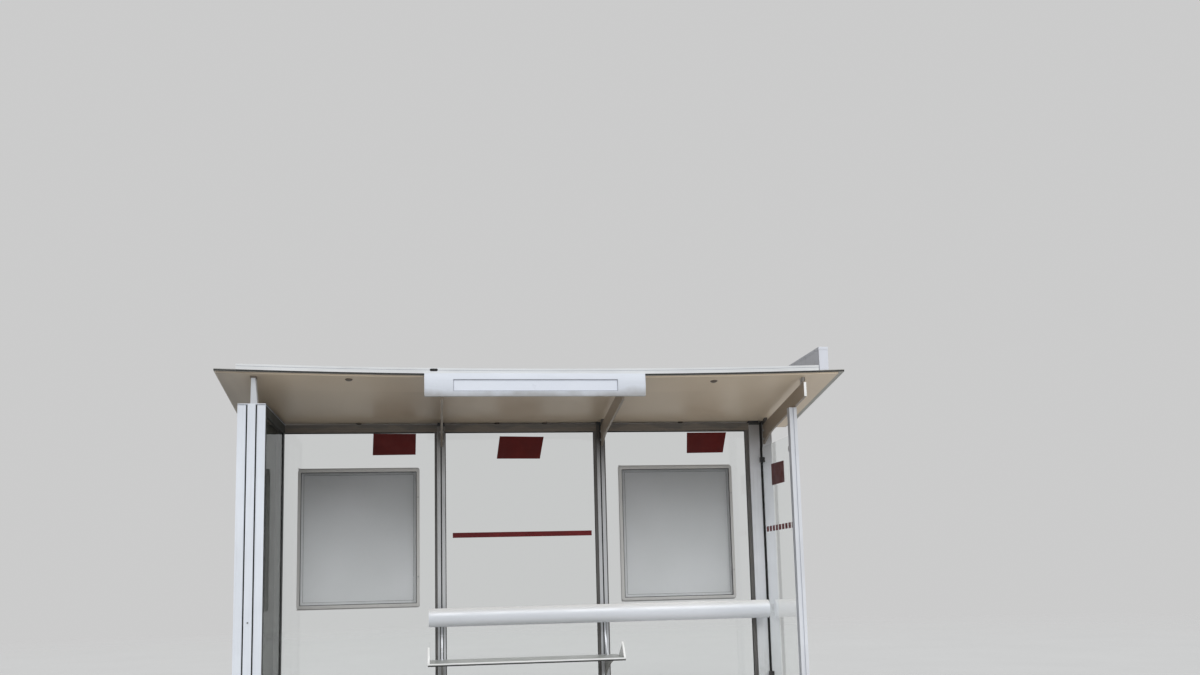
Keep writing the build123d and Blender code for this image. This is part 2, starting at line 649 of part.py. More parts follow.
def box_base():
    """Plinth and base plate of the display box, and the supports that carry the roof on it."""
    x = LEFT_POST_X
    y = (BOX_FRONT + PLINTH_INSET, -PLINTH_INSET)
    half = PLINTH_WIDTH / 2
    plinth = block((x - half, x + half), y, (PLATE_THICKNESS, BOX_FOOT))
    inner_y = (y[0] + PLINTH_WALL, y[1] - PLINTH_WALL)
    plinth -= block((x - half + PLINTH_WALL, x + half - PLINTH_WALL), inner_y, (PLATE_THICKNESS, BOX_FOOT))
    save("box_plinth", plinth)
    centre_y = (y[0] + y[1]) / 2
    size = (BOX_PLATE_WIDTH, BOX_PLATE_LENGTH, BOX_BOLT_SPACING_X, BOX_BOLT_SPACING_Y)
    save("box_base_plate", foot_plate(x, centre_y, *size))
    stud_top = under(x - REAR_STUD_RADIUS, REAR_STUD_Y + REAR_STUD_RADIUS) - FIT
    stud = upright(x, REAR_STUD_Y, REAR_STUD_RADIUS, BOX_TOP, stud_top - FIT * 2)
    tower_x = x + TOWER_OFFSET
    head_y = (BOX_FRONT - TOWER_LEAN, BOX_FRONT - TOWER_LEAN + TOWER_DEPTH)
    pad_half = TOWER_PAD_WIDTH / 2
    level = [min(under(tower_x - pad_half, y), under(tower_x + pad_half, y)) - FIT for y in head_y]
    top = level[1] - TOWER_PAD
    levels = (
        (TOWER_WIDTH / 2, (BOX_FRONT, BOX_FRONT + TOWER_DEPTH), BOX_TOP),
        (TOWER_TOP_WIDTH / 2, head_y, top),
    )
    faces = []
    for side, tower_y, z in levels:
        corners = [(tower_x - side, tower_y[0], z), (tower_x + side, tower_y[0], z)]
        corners += [(tower_x + side, tower_y[1], z), (tower_x - side, tower_y[1], z)]
        faces.append(make_face(Polyline(*corners, close=True)))
    save("box_roof_supports", loft(faces, ruled=True), stud)
    pad = [(head_y[0], top), (head_y[0], level[0]), (head_y[1], level[1]), (head_y[1], top)]
    save("box_roof_pad", prism_x(pad, tower_x - pad_half, tower_x + pad_half))


def rounded_slab(x, y, z, corner):
    """Slab standing in the XZ plane with rounded corners."""
    slab = block(x, y, z)
    return fillet(slab.edges().filter_by(Axis.Y), corner)


def wall_case(number, centre):
    """Shallow wall case: tray, sheet inside, and a glazed door pivoting at its left edge."""
    x = (centre - CASE_WIDTH / 2, centre + CASE_WIDTH / 2)
    z = (CASE_FOOT, CASE_FOOT + CASE_HEIGHT)
    back = GLASS_FRONT - TRAY_STANDOFF
    face = back - TRAY_DEPTH
    tray = rounded_slab(x, (face, back), z, CASE_CORNER)
    inner_x = (x[0] + TRAY_RIM, x[1] - TRAY_RIM)
    inner_z = (z[0] + TRAY_RIM, z[1] - TRAY_RIM)
    tray -= block(inner_x, (face, back - TRAY_BACK), inner_z)
    for off_x in (x[0] + STANDOFF_INSET, x[1] - STANDOFF_INSET):
        for off_z in (z[0] + STANDOFF_INSET, z[1] - STANDOFF_INSET):
            disc = Cylinder(STANDOFF_RADIUS, TRAY_STANDOFF)
            tray += Pos(off_x, back + TRAY_STANDOFF / 2, off_z) * Rot(90, 0, 0) * disc
    door_back = face - CASE_GAP
    door_face = door_back - CASE_DOOR_THICKNESS
    pin_x = x[0] + CASE_PIVOT_INSET
    pin_y = door_back - CASE_PIVOT_INSET
    door_z = (z[0] + LUG_THICKNESS + CASE_GAP, z[1] - LUG_THICKNESS - CASE_GAP)
    lug_x = (x[0], x[0] + LUG_LENGTH)
    reach = LUG_THICKNESS + CASE_GAP + CASE_PIN_REACH
    for lug_z, pin_z in (
        ((z[0], z[0] + LUG_THICKNESS), (z[0], z[0] + reach)),
        ((z[1] - LUG_THICKNESS, z[1]), (z[1] - reach, z[1])),
    ):
        lug = block(lug_x, (door_face, face + TRAY_RIM / 2), lug_z)
        tray += lug
        tray += upright(pin_x, pin_y, CASE_PIN_RADIUS, *pin_z)
    save(f"case_{number}_tray", tray)
    sheet_y = (back - TRAY_BACK - SHEET_PANEL_THICKNESS, back - TRAY_BACK)
    sheet_x = (inner_x[0] + FIT, inner_x[1] - FIT)
    save(f"case_{number}_sheet", block(sheet_x, sheet_y, (inner_z[0], inner_z[1] - FIT)))
    door = rounded_slab(x, (door_face, door_back), door_z, CASE_CORNER)
    turned = [
        e for e in door.edges().filter_by(Axis.Z)
        if abs(e.center().X - x[0]) < FIT and abs(e.center().Y - door_back) < FIT
    ]
    door = fillet(turned, CASE_PIVOT_INSET - FIT * 2)
    lip = door_face + CASE_DOOR_LIP_THICKNESS
    hole_x = (x[0] + CASE_DOOR_MEMBER + CASE_PIVOT_INSET, x[1] - CASE_DOOR_MEMBER)
    hole_z = (door_z[0] + CASE_DOOR_MEMBER, door_z[1] - CASE_DOOR_MEMBER)
    door -= block(hole_x, (lip, door_back), hole_z)
    sight_x = (x[0] + CASE_DOOR_MEMBER + CASE_DOOR_LIP, x[1] - CASE_DOOR_MEMBER - CASE_DOOR_LIP)
    sight_z = (hole_z[0] + CASE_DOOR_LIP, hole_z[1] - CASE_DOOR_LIP)
    door -= block(sight_x, (door_face, lip), sight_z)
    depth = CASE_PIN_REACH + CASE_PIN_SPACE
    for low in (door_z[0], door_z[1] - depth):
        door -= upright(pin_x, pin_y, CASE_PIN_RADIUS + PIN_PLAY, low, low + depth)
    save(f"case_{number}_door", door)
    pane_x = (hole_x[0] + FIT, hole_x[1] - FIT)
    pane = block(pane_x, (lip, lip + CASE_GLASS_THICKNESS), (hole_z[0], hole_z[1] - FIT))
    save(f"case_{number}_glass", pane)


def leaning_rail():
    """Hollow rail with a flat back and a round street side, its end caps and its brackets on the posts."""
    half_height = LEAN_HEIGHT / 2
    middle_z = LEAN_FOOT + half_height
    bulge = LEAN_DEPTH - LEAN_FLAT
    radius = (half_height ** 2 + bulge ** 2) / (2 * bulge)

    def bar(low, high, inset):
        side = half_height - inset
        bend = LEAN_FRONT + radius - ((radius - inset) ** 2 - side ** 2) ** 0.5
        back = LEAN_FRONT + LEAN_DEPTH - inset
        foot = [(low, back, middle_z - side), (low, bend, middle_z - side)]
        head = [(low, bend, middle_z + side), (low, back, middle_z + side)]
        nose = (low, LEAN_FRONT + inset, middle_z)
        edges = [Line(*foot), ThreePointArc(foot[1], nose, head[0]), Line(*head), Line(head[1], foot[0])]
        return extrude(make_face(edges), amount=high - low, dir=(1, 0, 0))

    tube_x = (LEAN_LEFT + LEAN_CAP, LEAN_RIGHT - LEAN_CAP)
    save("leaning_rail", bar(*tube_x, 0) - bar(*tube_x, LEAN_WALL))
    save("leaning_rail_caps", bar(LEAN_LEFT, tube_x[0], 0), bar(tube_x[1], LEAN_RIGHT, 0))
    half = LEAN_BRACKET_WIDTH / 2
    y = (LEAN_FRONT + LEAN_DEPTH, 0)
    z = (middle_z - LEAN_BRACKET_HEIGHT / 2, middle_z + LEAN_BRACKET_HEIGHT / 2)
    stands = [block((x - half, x + half), y, z) for x in (POST_2_X, POST_3_X, CORNER_LEAN_X)]
    save("leaning_rail_brackets", *stands)


def seat():
    """Seat sheet with a front lip and both ends turned up, on gussets and hangers at posts 2 and 3."""
    low = SEAT_TOP - SEAT_PLATE
    lip = SEAT_TOP - SEAT_LIP
    top = SEAT_TOP + SEAT_END_HEIGHT
    crown = SEAT_FRONT + SEAT_END_SETBACK
    heel = SEAT_FRONT + SEAT_END_DEPTH

    def end_plate(x_low, x_high, reach):
        """Upturned end, or the flange along its curved front edge when reach is small."""
        knee = ((SEAT_FRONT + crown) / 2 - SEAT_END_BOW, (lip + top) / 2)
        front = [(SEAT_FRONT, lip), knee, (crown, top)]
        if reach < SEAT_DEPTH:
            rear = [(y + reach, z) for y, z in reversed(front)]
            curve = ThreePointArc(*[(x_low, *place) for place in rear])
        else:
            rear = [(crown + SEAT_FLANGE, top), (heel, SEAT_TOP), (heel, low)]
            rear += [(SEAT_FRONT + SEAT_FLANGE, low), (SEAT_FRONT + SEAT_FLANGE, lip)]
            curve = Polyline(*[(x_low, *place) for place in rear])
        closing = [Line((x_low, *front[2]), curve @ 0), Line(curve @ 1, (x_low, *front[0]))]
        outline = [ThreePointArc(*[(x_low, *place) for place in front]), curve, *closing]
        return extrude(make_face(outline), amount=x_high - x_low, dir=(1, 0, 0))

    sheet = block((SEAT_LEFT, SEAT_RIGHT), (SEAT_FRONT, SEAT_REAR), (low, SEAT_TOP))
    sheet += block((SEAT_LEFT, SEAT_RIGHT), (SEAT_FRONT, SEAT_FRONT + SEAT_PLATE), (lip, low))
    sheet += end_plate(SEAT_LEFT, SEAT_LEFT + SEAT_PLATE, SEAT_DEPTH)
    sheet += end_plate(SEAT_RIGHT - SEAT_PLATE, SEAT_RIGHT, SEAT_DEPTH)
    sheet += end_plate(SEAT_LEFT, SEAT_LEFT + SEAT_FLANGE, SEAT_PLATE)
    sheet += end_plate(SEAT_RIGHT - SEAT_FLANGE, SEAT_RIGHT, SEAT_PLATE)
    save("seat_sheet", sheet)
    gussets = [gusset(x, low) for x in (POST_2_X, POST_3_X)]
    save("seat_gussets", *gussets)
    save("seat_hangers", *[hanger(x) for x in (POST_2_X, POST_3_X)])


def gusset(x, top):
    """Bracket under the seat, curved down towards the post."""
    x_low = x - GUSSET_THICKNESS / 2
    tip = SEAT_FRONT + SEAT_PLATE + GUSSET_SETBACK
    middle = (tip / 2 + GUSSET_BOW / 2, top - (GUSSET_TIP + GUSSET_ROOT) / 2 + GUSSET_BOW / 2)
    corners = [(tip, top - GUSSET_TIP), (tip, top), (0, top), (0, top - GUSSET_ROOT)]
    straight = Polyline(*[(x_low, *place) for place in corners])
    edges = [straight, ThreePointArc(straight @ 1, (x_low, *middle), straight @ 0)]
    return extrude(make_face(edges), amount=GUSSET_THICKNESS, dir=(1, 0, 0))


def hanger(x):
    """Plate on the post's face, curved out to stand on the seat and notched over its rear edge."""
    x_low = x - GUSSET_THICKNESS / 2
    rear = SEAT_REAR + FIT
    low = SEAT_TOP - SEAT_PLATE
    knee = (x_low, -HANGER_KNEE, SEAT_TOP + HANGER_KNEE_RISE)
    corners = [(-HANGER_HEAD, SEAT_TOP + HANGER_RISE), (-HANGER_HEAD, LEAN_FOOT - FIT), (0, LEAN_FOOT - FIT)]
    corners += [(0, low), (rear, low), (rear, SEAT_TOP), (-HANGER_FOOT, SEAT_TOP)]
    straight = Polyline(*[(x_low, *place) for place in corners])
    edges = [straight, ThreePointArc(straight @ 1, knee, straight @ 0)]
    return extrude(make_face(edges), amount=GUSSET_THICKNESS, dir=(1, 0, 0))


os.makedirs("parts", exist_ok=True)
roof_sheet = roof()
front_edge(roof_sheet)
roof_box(roof_sheet)
header_sign()
roof_pads = posts()
arms(roof_pads)
feet()
back_wall()
side_wall()
box_body()
box_door("outer", -1)
box_door("inner", 1)
box_base()
for case_number, case_centre in enumerate(CASE_CENTRES, start=1):
    wall_case(case_number, case_centre)
leaning_rail()
seat()
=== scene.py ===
"""Looks of the bus shelter: camera, finishes, small fittings, floor and light.
Metres in the shared frame, the street side towards -Y."""
import json
import math
import bmesh
import bpy
from mathutils import Matrix, Vector
from mathutils.bvhtree import BVHTree

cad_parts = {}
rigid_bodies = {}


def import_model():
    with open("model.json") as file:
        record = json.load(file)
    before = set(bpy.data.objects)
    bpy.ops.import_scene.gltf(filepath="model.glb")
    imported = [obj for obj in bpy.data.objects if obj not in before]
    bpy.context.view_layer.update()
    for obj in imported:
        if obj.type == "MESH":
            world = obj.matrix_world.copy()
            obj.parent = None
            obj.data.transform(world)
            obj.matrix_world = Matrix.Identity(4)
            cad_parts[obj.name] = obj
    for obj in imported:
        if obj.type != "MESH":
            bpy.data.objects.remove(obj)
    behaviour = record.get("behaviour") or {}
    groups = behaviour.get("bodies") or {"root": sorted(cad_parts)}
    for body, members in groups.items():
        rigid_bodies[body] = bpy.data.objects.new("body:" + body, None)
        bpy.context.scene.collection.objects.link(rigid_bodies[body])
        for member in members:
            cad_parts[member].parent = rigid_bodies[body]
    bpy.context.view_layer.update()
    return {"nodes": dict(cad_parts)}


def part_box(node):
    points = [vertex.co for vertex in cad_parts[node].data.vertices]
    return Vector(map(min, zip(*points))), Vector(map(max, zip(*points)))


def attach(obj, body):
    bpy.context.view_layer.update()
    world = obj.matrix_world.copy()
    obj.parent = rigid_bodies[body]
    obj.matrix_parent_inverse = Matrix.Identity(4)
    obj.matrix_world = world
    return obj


for leftover in list(bpy.data.objects):
    bpy.data.objects.remove(leftover)
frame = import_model()
nodes = frame["nodes"]

X, Y, Z = range(3)
UP = (0, 0, 1)
DOWN = (0, 0, -1)
ALONG = (1, 0, 0)
STREETWARDS = (0, -1, 0)

# The middle of the CAD box in the plan that the readings from the photograph use
PLAN_X = 0.6845
PLAN_Y = -0.4920


def at(x, y, z):
    """A reading in millimetres from the second post's front face, in the shared frame."""
    return Vector((x / 1000 - PLAN_X, y / 1000 - PLAN_Y, z / 1000))


def placed(name, data):
    """A new object in the scene."""
    made = bpy.data.objects.new(name, data)
    bpy.context.scene.collection.objects.link(made)
    return made


# Camera, fitted to the shelter's long straight edges
def photo_camera(place, yaw, pitch, roll, lens, shift_y):
    level = Vector((math.sin(yaw), math.cos(yaw), 0))
    side = Vector((math.cos(yaw), -math.sin(yaw), 0))
    ahead = math.cos(pitch) * level + math.sin(pitch) * Vector(UP)
    upward = -math.sin(pitch) * level + math.cos(pitch) * Vector(UP)
    right = math.cos(roll) * side + math.sin(roll) * upward
    top = -math.sin(roll) * side + math.cos(roll) * upward
    data = bpy.data.cameras.new("camera")
    data.sensor_width = 36
    data.lens = lens
    data.shift_y = shift_y
    data.clip_end = 200
    camera = placed("camera", data)
    turn = Matrix((right, top, -ahead)).transposed().to_4x4()
    camera.matrix_world = Matrix.Translation(place) @ turn
    bpy.context.scene.camera = camera


photo_camera(Vector((-0.7155, -8.4833, 0.9902)), yaw=0.1421, pitch=0.1424, roll=-0.0245, lens=34.551,
             shift_y=0.0664)


# Finishes
def srgb(colour):
    """A colour read on a screen, 0 to 255, as the linear colour that the nodes take."""
    def linear(value):
        value = value / 255
        return value / 12.92 if value <= 0.04045 else ((value + 0.055) / 1.055) ** 2.4
    return (*(linear(value) for value in colour), 1.0)


class Nodes:
    """A node tree being built, from its output node back."""

    def __init__(self, tree, end):
        self.tree = tree
        self.tree.nodes.clear()
        self.out = self.tree.nodes.new(end)

    def put(self, kind, **values):
        node = self.tree.nodes.new(kind)
        for key, value in values.items():
            setattr(node, key, value)
        return node

    def set(self, socket, value):
        """Links an output, or sets a constant. Three numbers on a colour socket are a screen colour."""
        if isinstance(value, bpy.types.NodeSocket):
            self.tree.links.new(value, socket)
        elif socket.type == "RGBA" and len(value) == 3:
            socket.default_value = srgb(value)
        else:
            socket.default_value = value

    def feed(self, node, *values):
        """Sets a node's first sockets in their order and gives its first output."""
        for socket, value in zip(node.inputs, values):
            self.set(socket, value)
        return node.outputs[0]

    def math(self, operation, *values):
        return self.feed(self.put("ShaderNodeMath", operation=operation), *values)

    def joined(self, amount, first, second):
        return self.feed(self.put("ShaderNodeMixShader"), amount, first, second)

    def split(self, vector, index):
        node = self.put("ShaderNodeSeparateXYZ")
        self.feed(node, vector)
        return node.outputs[index]

    def spread(self, value, low, high, to_low=0.0, to_high=1.0):
        node = self.put("ShaderNodeMapRange")
        self.set(node.inputs["Value"], value)
        node.inputs["From Min"].default_value = low
        node.inputs["From Max"].default_value = high
        node.inputs["To Min"].default_value = to_low
        node.inputs["To Max"].default_value = to_high
        return node.outputs["Result"]

    def done(self, shader):
        self.set(self.out.inputs["Surface"], shader)


finishes = {}
WORN_RADIUS = 0.0016


class Finish(Nodes):
    """One material and its nodes. Patterns follow the object's own coordinates, in metres."""

    def __init__(self, name):
        self.material = bpy.data.materials.new(name)
        self.material.use_nodes = True
        self.name = name
        super().__init__(self.material.node_tree, "ShaderNodeOutputMaterial")
        self.place = self.put("ShaderNodeTexCoord").outputs["Object"]

    def stretched(self, scale):
        node = self.put("ShaderNodeMapping")
        self.set(node.inputs["Vector"], self.place)
        node.inputs["Scale"].default_value = scale
        return node.outputs[0]

    def noise(self, scale, detail, stretch=None, rough=0.5):
        node = self.put("ShaderNodeTexNoise")
        self.set(node.inputs["Vector"], self.stretched(stretch) if stretch else self.place)
        node.inputs["Scale"].default_value = scale
        node.inputs["Detail"].default_value = detail
        node.inputs["Roughness"].default_value = rough
        return node.outputs["Fac"]

    def patches(self, low, high, *noise, **more):
        """Noise stretched to run from 0 to 1 between two of its levels."""
        return self.spread(self.noise(*noise, **more), low, high)

    def uneven(self, low, high, scale, detail):
        """A value that drifts between two levels."""
        return self.spread(self.noise(scale, detail), 0.3, 0.7, low, high)

    def mix(self, amount, first, second):
        node = self.put("ShaderNodeMix", data_type="RGBA")
        self.set(node.inputs["Factor"], amount)
        for socket, colour in zip([s for s in node.inputs if s.type == "RGBA"], (first, second)):
            self.set(socket, colour)
        return [s for s in node.outputs if s.type == "RGBA"][0]

    def lay(self, tone, part, amount, colour):
        """Another colour over the tone, on part of it and by an amount."""
        return self.mix(self.math("MULTIPLY", part, amount), tone, colour)

    def axis(self, index):
        return self.split(self.place, index)

    def looking(self, index):
        """How far a face looks along an axis, from -1 to 1."""
        return self.split(self.put("ShaderNodeNewGeometry").outputs["Normal"], index)

    def worn_edge(self):
        """1 where a face turns over an outer edge close by, 0 on flat faces."""
        rounded_off = self.put("ShaderNodeBevel", samples=4)
        rounded_off.inputs["Radius"].default_value = WORN_RADIUS
        geometry = self.put("ShaderNodeNewGeometry")
        product = self.put("ShaderNodeVectorMath", operation="DOT_PRODUCT")
        self.feed(product, rounded_off.outputs[0], geometry.outputs["True Normal"])
        return self.spread(product.outputs["Value"], 0.995, 0.80)

    def bump(self, height, strength, distance):
        node = self.put("ShaderNodeBump")
        node.inputs["Strength"].default_value = strength
        node.inputs["Distance"].default_value = distance
        self.set(node.inputs["Height"], height)
        return node.outputs[0]

    def principled(self, colour, rough, normal=None, **values):
        node = self.put("ShaderNodeBsdfPrincipled")
        self.set(node.inputs["Base Color"], colour)
        self.set(node.inputs["Roughness"], rough)
        if normal is not None:
            self.set(node.inputs["Normal"], normal)
        for key, value in values.items():
            self.set(node.inputs[key.replace("_", " ")], value)
        return node.outputs[0]

    def done(self, shader):
        super().done(shader)
        finishes[self.name] = self.material


GREY_DIRT = (118, 112, 102)
# Painted shade: the posts darken towards their heads, under the roof.
PAINTED_HEAD_SHADE = (98, 92, 84)
PAINTED_HEAD_SHADE_ZONE = (Z, 1.80, 2.15, PAINTED_HEAD_SHADE, 0.85)


def coated(name, colour, dirt=GREY_DIRT, *, rough=0.42, metal=0.0, cloud=0.05, cloud_scale=2.5,
           streaks=0.16, along=(9, 9, 0.5), dust=0.30, splash=0.35, edge=0.0, edge_colour=None, bump=0.15,
           bump_scale=260.0, speckle=0.10, shine=0.5, painted_shade_zones=(), painted_light_and_shade_sides=()):
    """Coated or anodised metal: cloudy tone, runs of dirt, dust where it looks up, splashes near the
    ground, brighter worn edges and a fine bump. A zone changes the tone along an axis, in metres, and
    a side changes it where a face looks along an axis: (axis, from, to, colour, amount). The finishes
    below use zones for painted shade and sides for painted light and shade."""
    f = Finish(name)
    base = srgb(colour)[:3]
    darker = (*(c * (1 - cloud) for c in base), 1.0)
    lighter = (*(min(c * (1 + cloud), 1.0) for c in base), 1.0)
    tone = f.mix(f.patches(0.32, 0.68, cloud_scale, 4), darker, lighter)
    # Painted shade by place, then painted light and shade by facing
    for axis, low, high, other, amount in painted_shade_zones:
        place = f.math("ADD", f.axis(axis), f.uneven(-0.03, 0.03, 4.0, 3))
        tone = f.lay(tone, f.spread(place, low, high), amount, other)
    for axis, low, high, other, amount in painted_light_and_shade_sides:
        tone = f.lay(tone, f.spread(f.looking(axis), low, high), amount, other)
    tone = f.lay(tone, f.patches(0.56, 0.74, 420.0, 2), speckle, dirt)
    tone = f.lay(tone, f.patches(0.50, 0.78, 7.0, 4, along), streaks, dirt)
    if dust:
        resting = f.math("MULTIPLY", f.spread(f.looking(Z), 0.45, 0.95), f.uneven(0.5, 1.0, 11, 4))
        tone = f.lay(tone, resting, dust, dirt)
    low = f.math("MULTIPLY", f.spread(f.axis(Z), 0.42, 0.0), f.patches(0.35, 0.65, 26, 5))
    tone = f.lay(tone, low, splash, dirt)
    if edge:
        tone = f.lay(tone, f.worn_edge(), edge, edge_colour or lighter)
    wear = f.uneven(rough - 0.06, rough + 0.10, 5.0, 4)
    f.done(f.principled(tone, wear, f.bump(f.noise(bump_scale, 2), bump, 0.0004), Metallic=metal,
                        Specular_IOR_Level=shine))


POST_LOOK = dict(rough=0.34, metal=0.25, edge=0.35, edge_colour=(235, 237, 239))
# Painted shade and reflection: the box's faces that look along +X, its inner side, turn dark grey.
BOX_LOOK_AND_PAINTED_SHADE = dict(rough=0.50, shine=0.12, streaks=0.08, edge=0.3, edge_colour=(240, 243, 247),
                painted_light_and_shade_sides=[(X, 0.6, 0.9, (62, 64, 62), 1.0)])
BRIGHT_LOOK = dict(streaks=0.06, dust=0.0, splash=0.2, edge_colour=(246, 247, 248))

coated("frame_grey", (205, 208, 211), rough=0.38, metal=0.15, edge=0.35, edge_colour=(232, 235, 238))
coated("post_silver", (212, 214, 216), painted_shade_zones=[PAINTED_HEAD_SHADE_ZONE], **POST_LOOK)
# Painted shade: post 1 is a darker grey all over, for the display box's shadow, and darker at its head.
coated("post_1_silver_painted_shade", (170, 172, 171), rough=0.38, metal=0.15, edge=0.3, edge_colour=(200, 202, 203),
       painted_shade_zones=[PAINTED_HEAD_SHADE_ZONE])
# Painted shade: post 3 darkens to a deep brown-grey towards its head.
coated("post_3_silver_painted_head_shade", (214, 216, 219), painted_shade_zones=[(Z, 1.70, 2.12, (58, 52, 46), 0.95)], **POST_LOOK)
# Painted shade darkens the corner post's head; the post is also a little darker towards its foot.
coated("corner_silver", (239, 241, 247), rough=0.36, metal=0.1, streaks=0.10, edge=0.35,
       edge_colour=(242, 244, 245),
       painted_shade_zones=[(Z, 1.85, 2.20, PAINTED_HEAD_SHADE, 0.75), (Z, 0.95, 0.40, (222, 224, 226), 0.9)])
coated("box_silver", (231, 236, 244), **BOX_LOOK_AND_PAINTED_SHADE)
# Painted shade on the inner door's faces behind its front, seen through the glass.
coated("inner_door_silver_painted_shade", (231, 236, 244), painted_shade_zones=[(Y, -0.50, -0.46, (84, 87, 84), 1.0)], **BOX_LOOK_AND_PAINTED_SHADE)
coated("bright_silver", (232, 235, 240), rough=0.32, metal=0.12, edge=0.3, **BRIGHT_LOOK)
# Painted shade: the front post's faces that look along -X are darker.
coated("front_silver_painted_shade", (229, 232, 238), rough=0.34, metal=0.1, edge=0.2,
       painted_light_and_shade_sides=[(X, -0.5, -0.9, (186, 190, 198), 0.9)], **BRIGHT_LOOK)
coated("tower_silver", (219, 222, 227), rough=0.36, metal=0.12, streaks=0.08, dust=0.1, edge=0.3,
       edge_colour=(240, 242, 244))
# Top rails: a dark grey-brown, partly their own finish and partly painted shade and reflection under the
# roof; painted darker still on their upper part.
coated("top_rail_painted_shade", (116, 108, 99), (84, 79, 72), rough=0.44, metal=0.1, along=(0.6, 9, 9), edge=0.3,
       edge_colour=(150, 144, 136), painted_shade_zones=[(Z, 2.204, 2.222, (100, 96, 91), 0.9)])
# Arms: the taupe is partly a painted reflection of the soffit; painted shade darkens their undersides and
# their rear ends at the posts.
coated("arm_taupe", (162, 148, 133), (104, 97, 88), metal=0.1, along=(9, 0.7, 9), edge=0.4,
       edge_colour=(205, 200, 194), painted_light_and_shade_sides=[(Z, -0.6, -0.9, (120, 112, 102), 0.6)],
       painted_shade_zones=[(Y, 0.30, 0.49, (124, 116, 107), 0.6)])
# Painted shade: the spacers at the arms' rear ends are dark.
coated("spacer_grey", (186, 182, 178), rough=0.45, painted_shade_zones=[(Y, 0.1, 0.3, (74, 70, 66), 1.0)])
coated("roof_cover", (176, 177, 175), (108, 103, 92), rough=0.5, along=(9, 0.6, 0.6), streaks=0.35,
       speckle=0.3, edge=0.3)
coated("pad_brown", (126, 116, 108), (84, 78, 70), rough=0.62, streaks=0.1)
coated("bright_trim", (228, 230, 231), rough=0.36, along=(0.7, 9, 9), streaks=0.10, dust=0.15, edge=0.2,
       edge_colour=(245, 245, 244))
# Painted shade on the header sign housing's lower part.
coated("sign_housing", (222, 227, 236), rough=0.50, metal=0.05, cloud=0.02, along=(0.8, 8, 8),
       streaks=0.05, dust=0.1, edge=0.1, shine=0.3, painted_shade_zones=[(Z, 2.325, 2.272, (178, 178, 179), 0.9)])
# Painted shade: the roof sign box's faces that look along -X are darker.
coated("sign_box", (220, 223, 231), along=(5, 5, 0.6), streaks=0.18, dust=0.4, edge=0.25,
       edge_colour=(238, 240, 243), painted_light_and_shade_sides=[(X, -0.6, -0.9, (172, 172, 178), 0.8)])
coated("case_metal", (202, 201, 199), rough=0.36, metal=0.1, streaks=0.08, edge=0.45,
       edge_colour=(238, 236, 235))
# Leaning rail: a painted highlight turns its upward faces white, and painted light makes its underside
# paler.
coated("rail_metal", (235, 239, 246), rough=0.40, metal=0.1, cloud=0.012, along=(0.4, 10, 10),
       streaks=0.03, dust=0.0, splash=0.15, speckle=0.02, bump=0.05,
       painted_light_and_shade_sides=[(Z, 0.3, 0.85, (255, 255, 255), 1.0), (Z, -0.05, -0.6, (243, 245, 250), 0.9)])
# Painted light: the seat's end faces, those looking along X, are near white.
coated("seat_metal", (180, 183, 180), (120, 116, 108), rough=0.34, metal=0.2, cloud=0.04,
       along=(0.5, 10, 10), streaks=0.10, dust=0.10, splash=0.1, edge=0.3, edge_colour=(240, 240, 238),
       painted_light_and_shade_sides=[(X, way * 0.6, way * 0.9, (254, 254, 252), 0.95) for way in (1, -1)])
# Near white, a painted highlight on the seat's folded edges and on the corner arm's tip plate.
coated("hem_white_painted_highlight", (250, 251, 250), rough=0.34, cloud=0.01, streaks=0.03, dust=0.0, splash=0.0,
       speckle=0.02)
coated("roof_trim", (172, 163, 150), (110, 102, 90), rough=0.5, along=(9, 0.7, 9), streaks=0.25)
coated("gusset_dark", (142, 141, 136), (84, 78, 72), rough=0.45, metal=0.1, edge=0.35,
       edge_colour=(170, 168, 164))
coated("zinc_plate", (160, 163, 166), (104, 98, 88), rough=0.46, metal=0.55, cloud=0.16, cloud_scale=34,
       streaks=0.12, splash=0.45, bump=0.25)
# Painted shade: the side glass's rear clamps are near black.
coated("clamp_metal", (206, 208, 210), rough=0.36, metal=0.3, edge=0.3,
       painted_shade_zones=[(Y, 0.1, 0.3, (44, 44, 46), 1.0)])
coated("dark_cap", (52, 53, 55), (98, 94, 86), rough=0.55, dust=0.35, bump=0.25, bump_scale=480)
# Dark grey of the glazing stops, partly painted shade on the posts' sides.
coated("stop_grey_and_painted_shade", (104, 102, 100), (74, 70, 66), rough=0.48, metal=0.1, streaks=0.2, edge=0.3,
       edge_colour=(140, 138, 136))
coated("cover_brown", (104, 94, 84), (70, 63, 56), rough=0.5, dust=0.0)


def roof_skin(name):
    """Weathered outer skin: pale grey with lichen-brown blotches, long runs towards the low edge."""
    f = Finish(name)
    tone = f.mix(f.patches(0.35, 0.68, 1.6, 5), (186, 187, 184), (168, 167, 161))
    tone = f.lay(tone, f.patches(0.52, 0.72, 5.5, 6, rough=0.62), 0.45, (124, 118, 100))
    tone = f.lay(tone, f.patches(0.50, 0.74, 6.0, 4, (9, 0.5, 0.5)), 0.35, (108, 103, 92))
    tone = f.lay(tone, f.patches(0.62, 0.72, 120, 3), 0.4, (92, 90, 74))
    f.done(f.principled(tone, f.uneven(0.52, 0.74, 9, 4), f.bump(f.noise(180, 3), 0.3, 0.0008)))


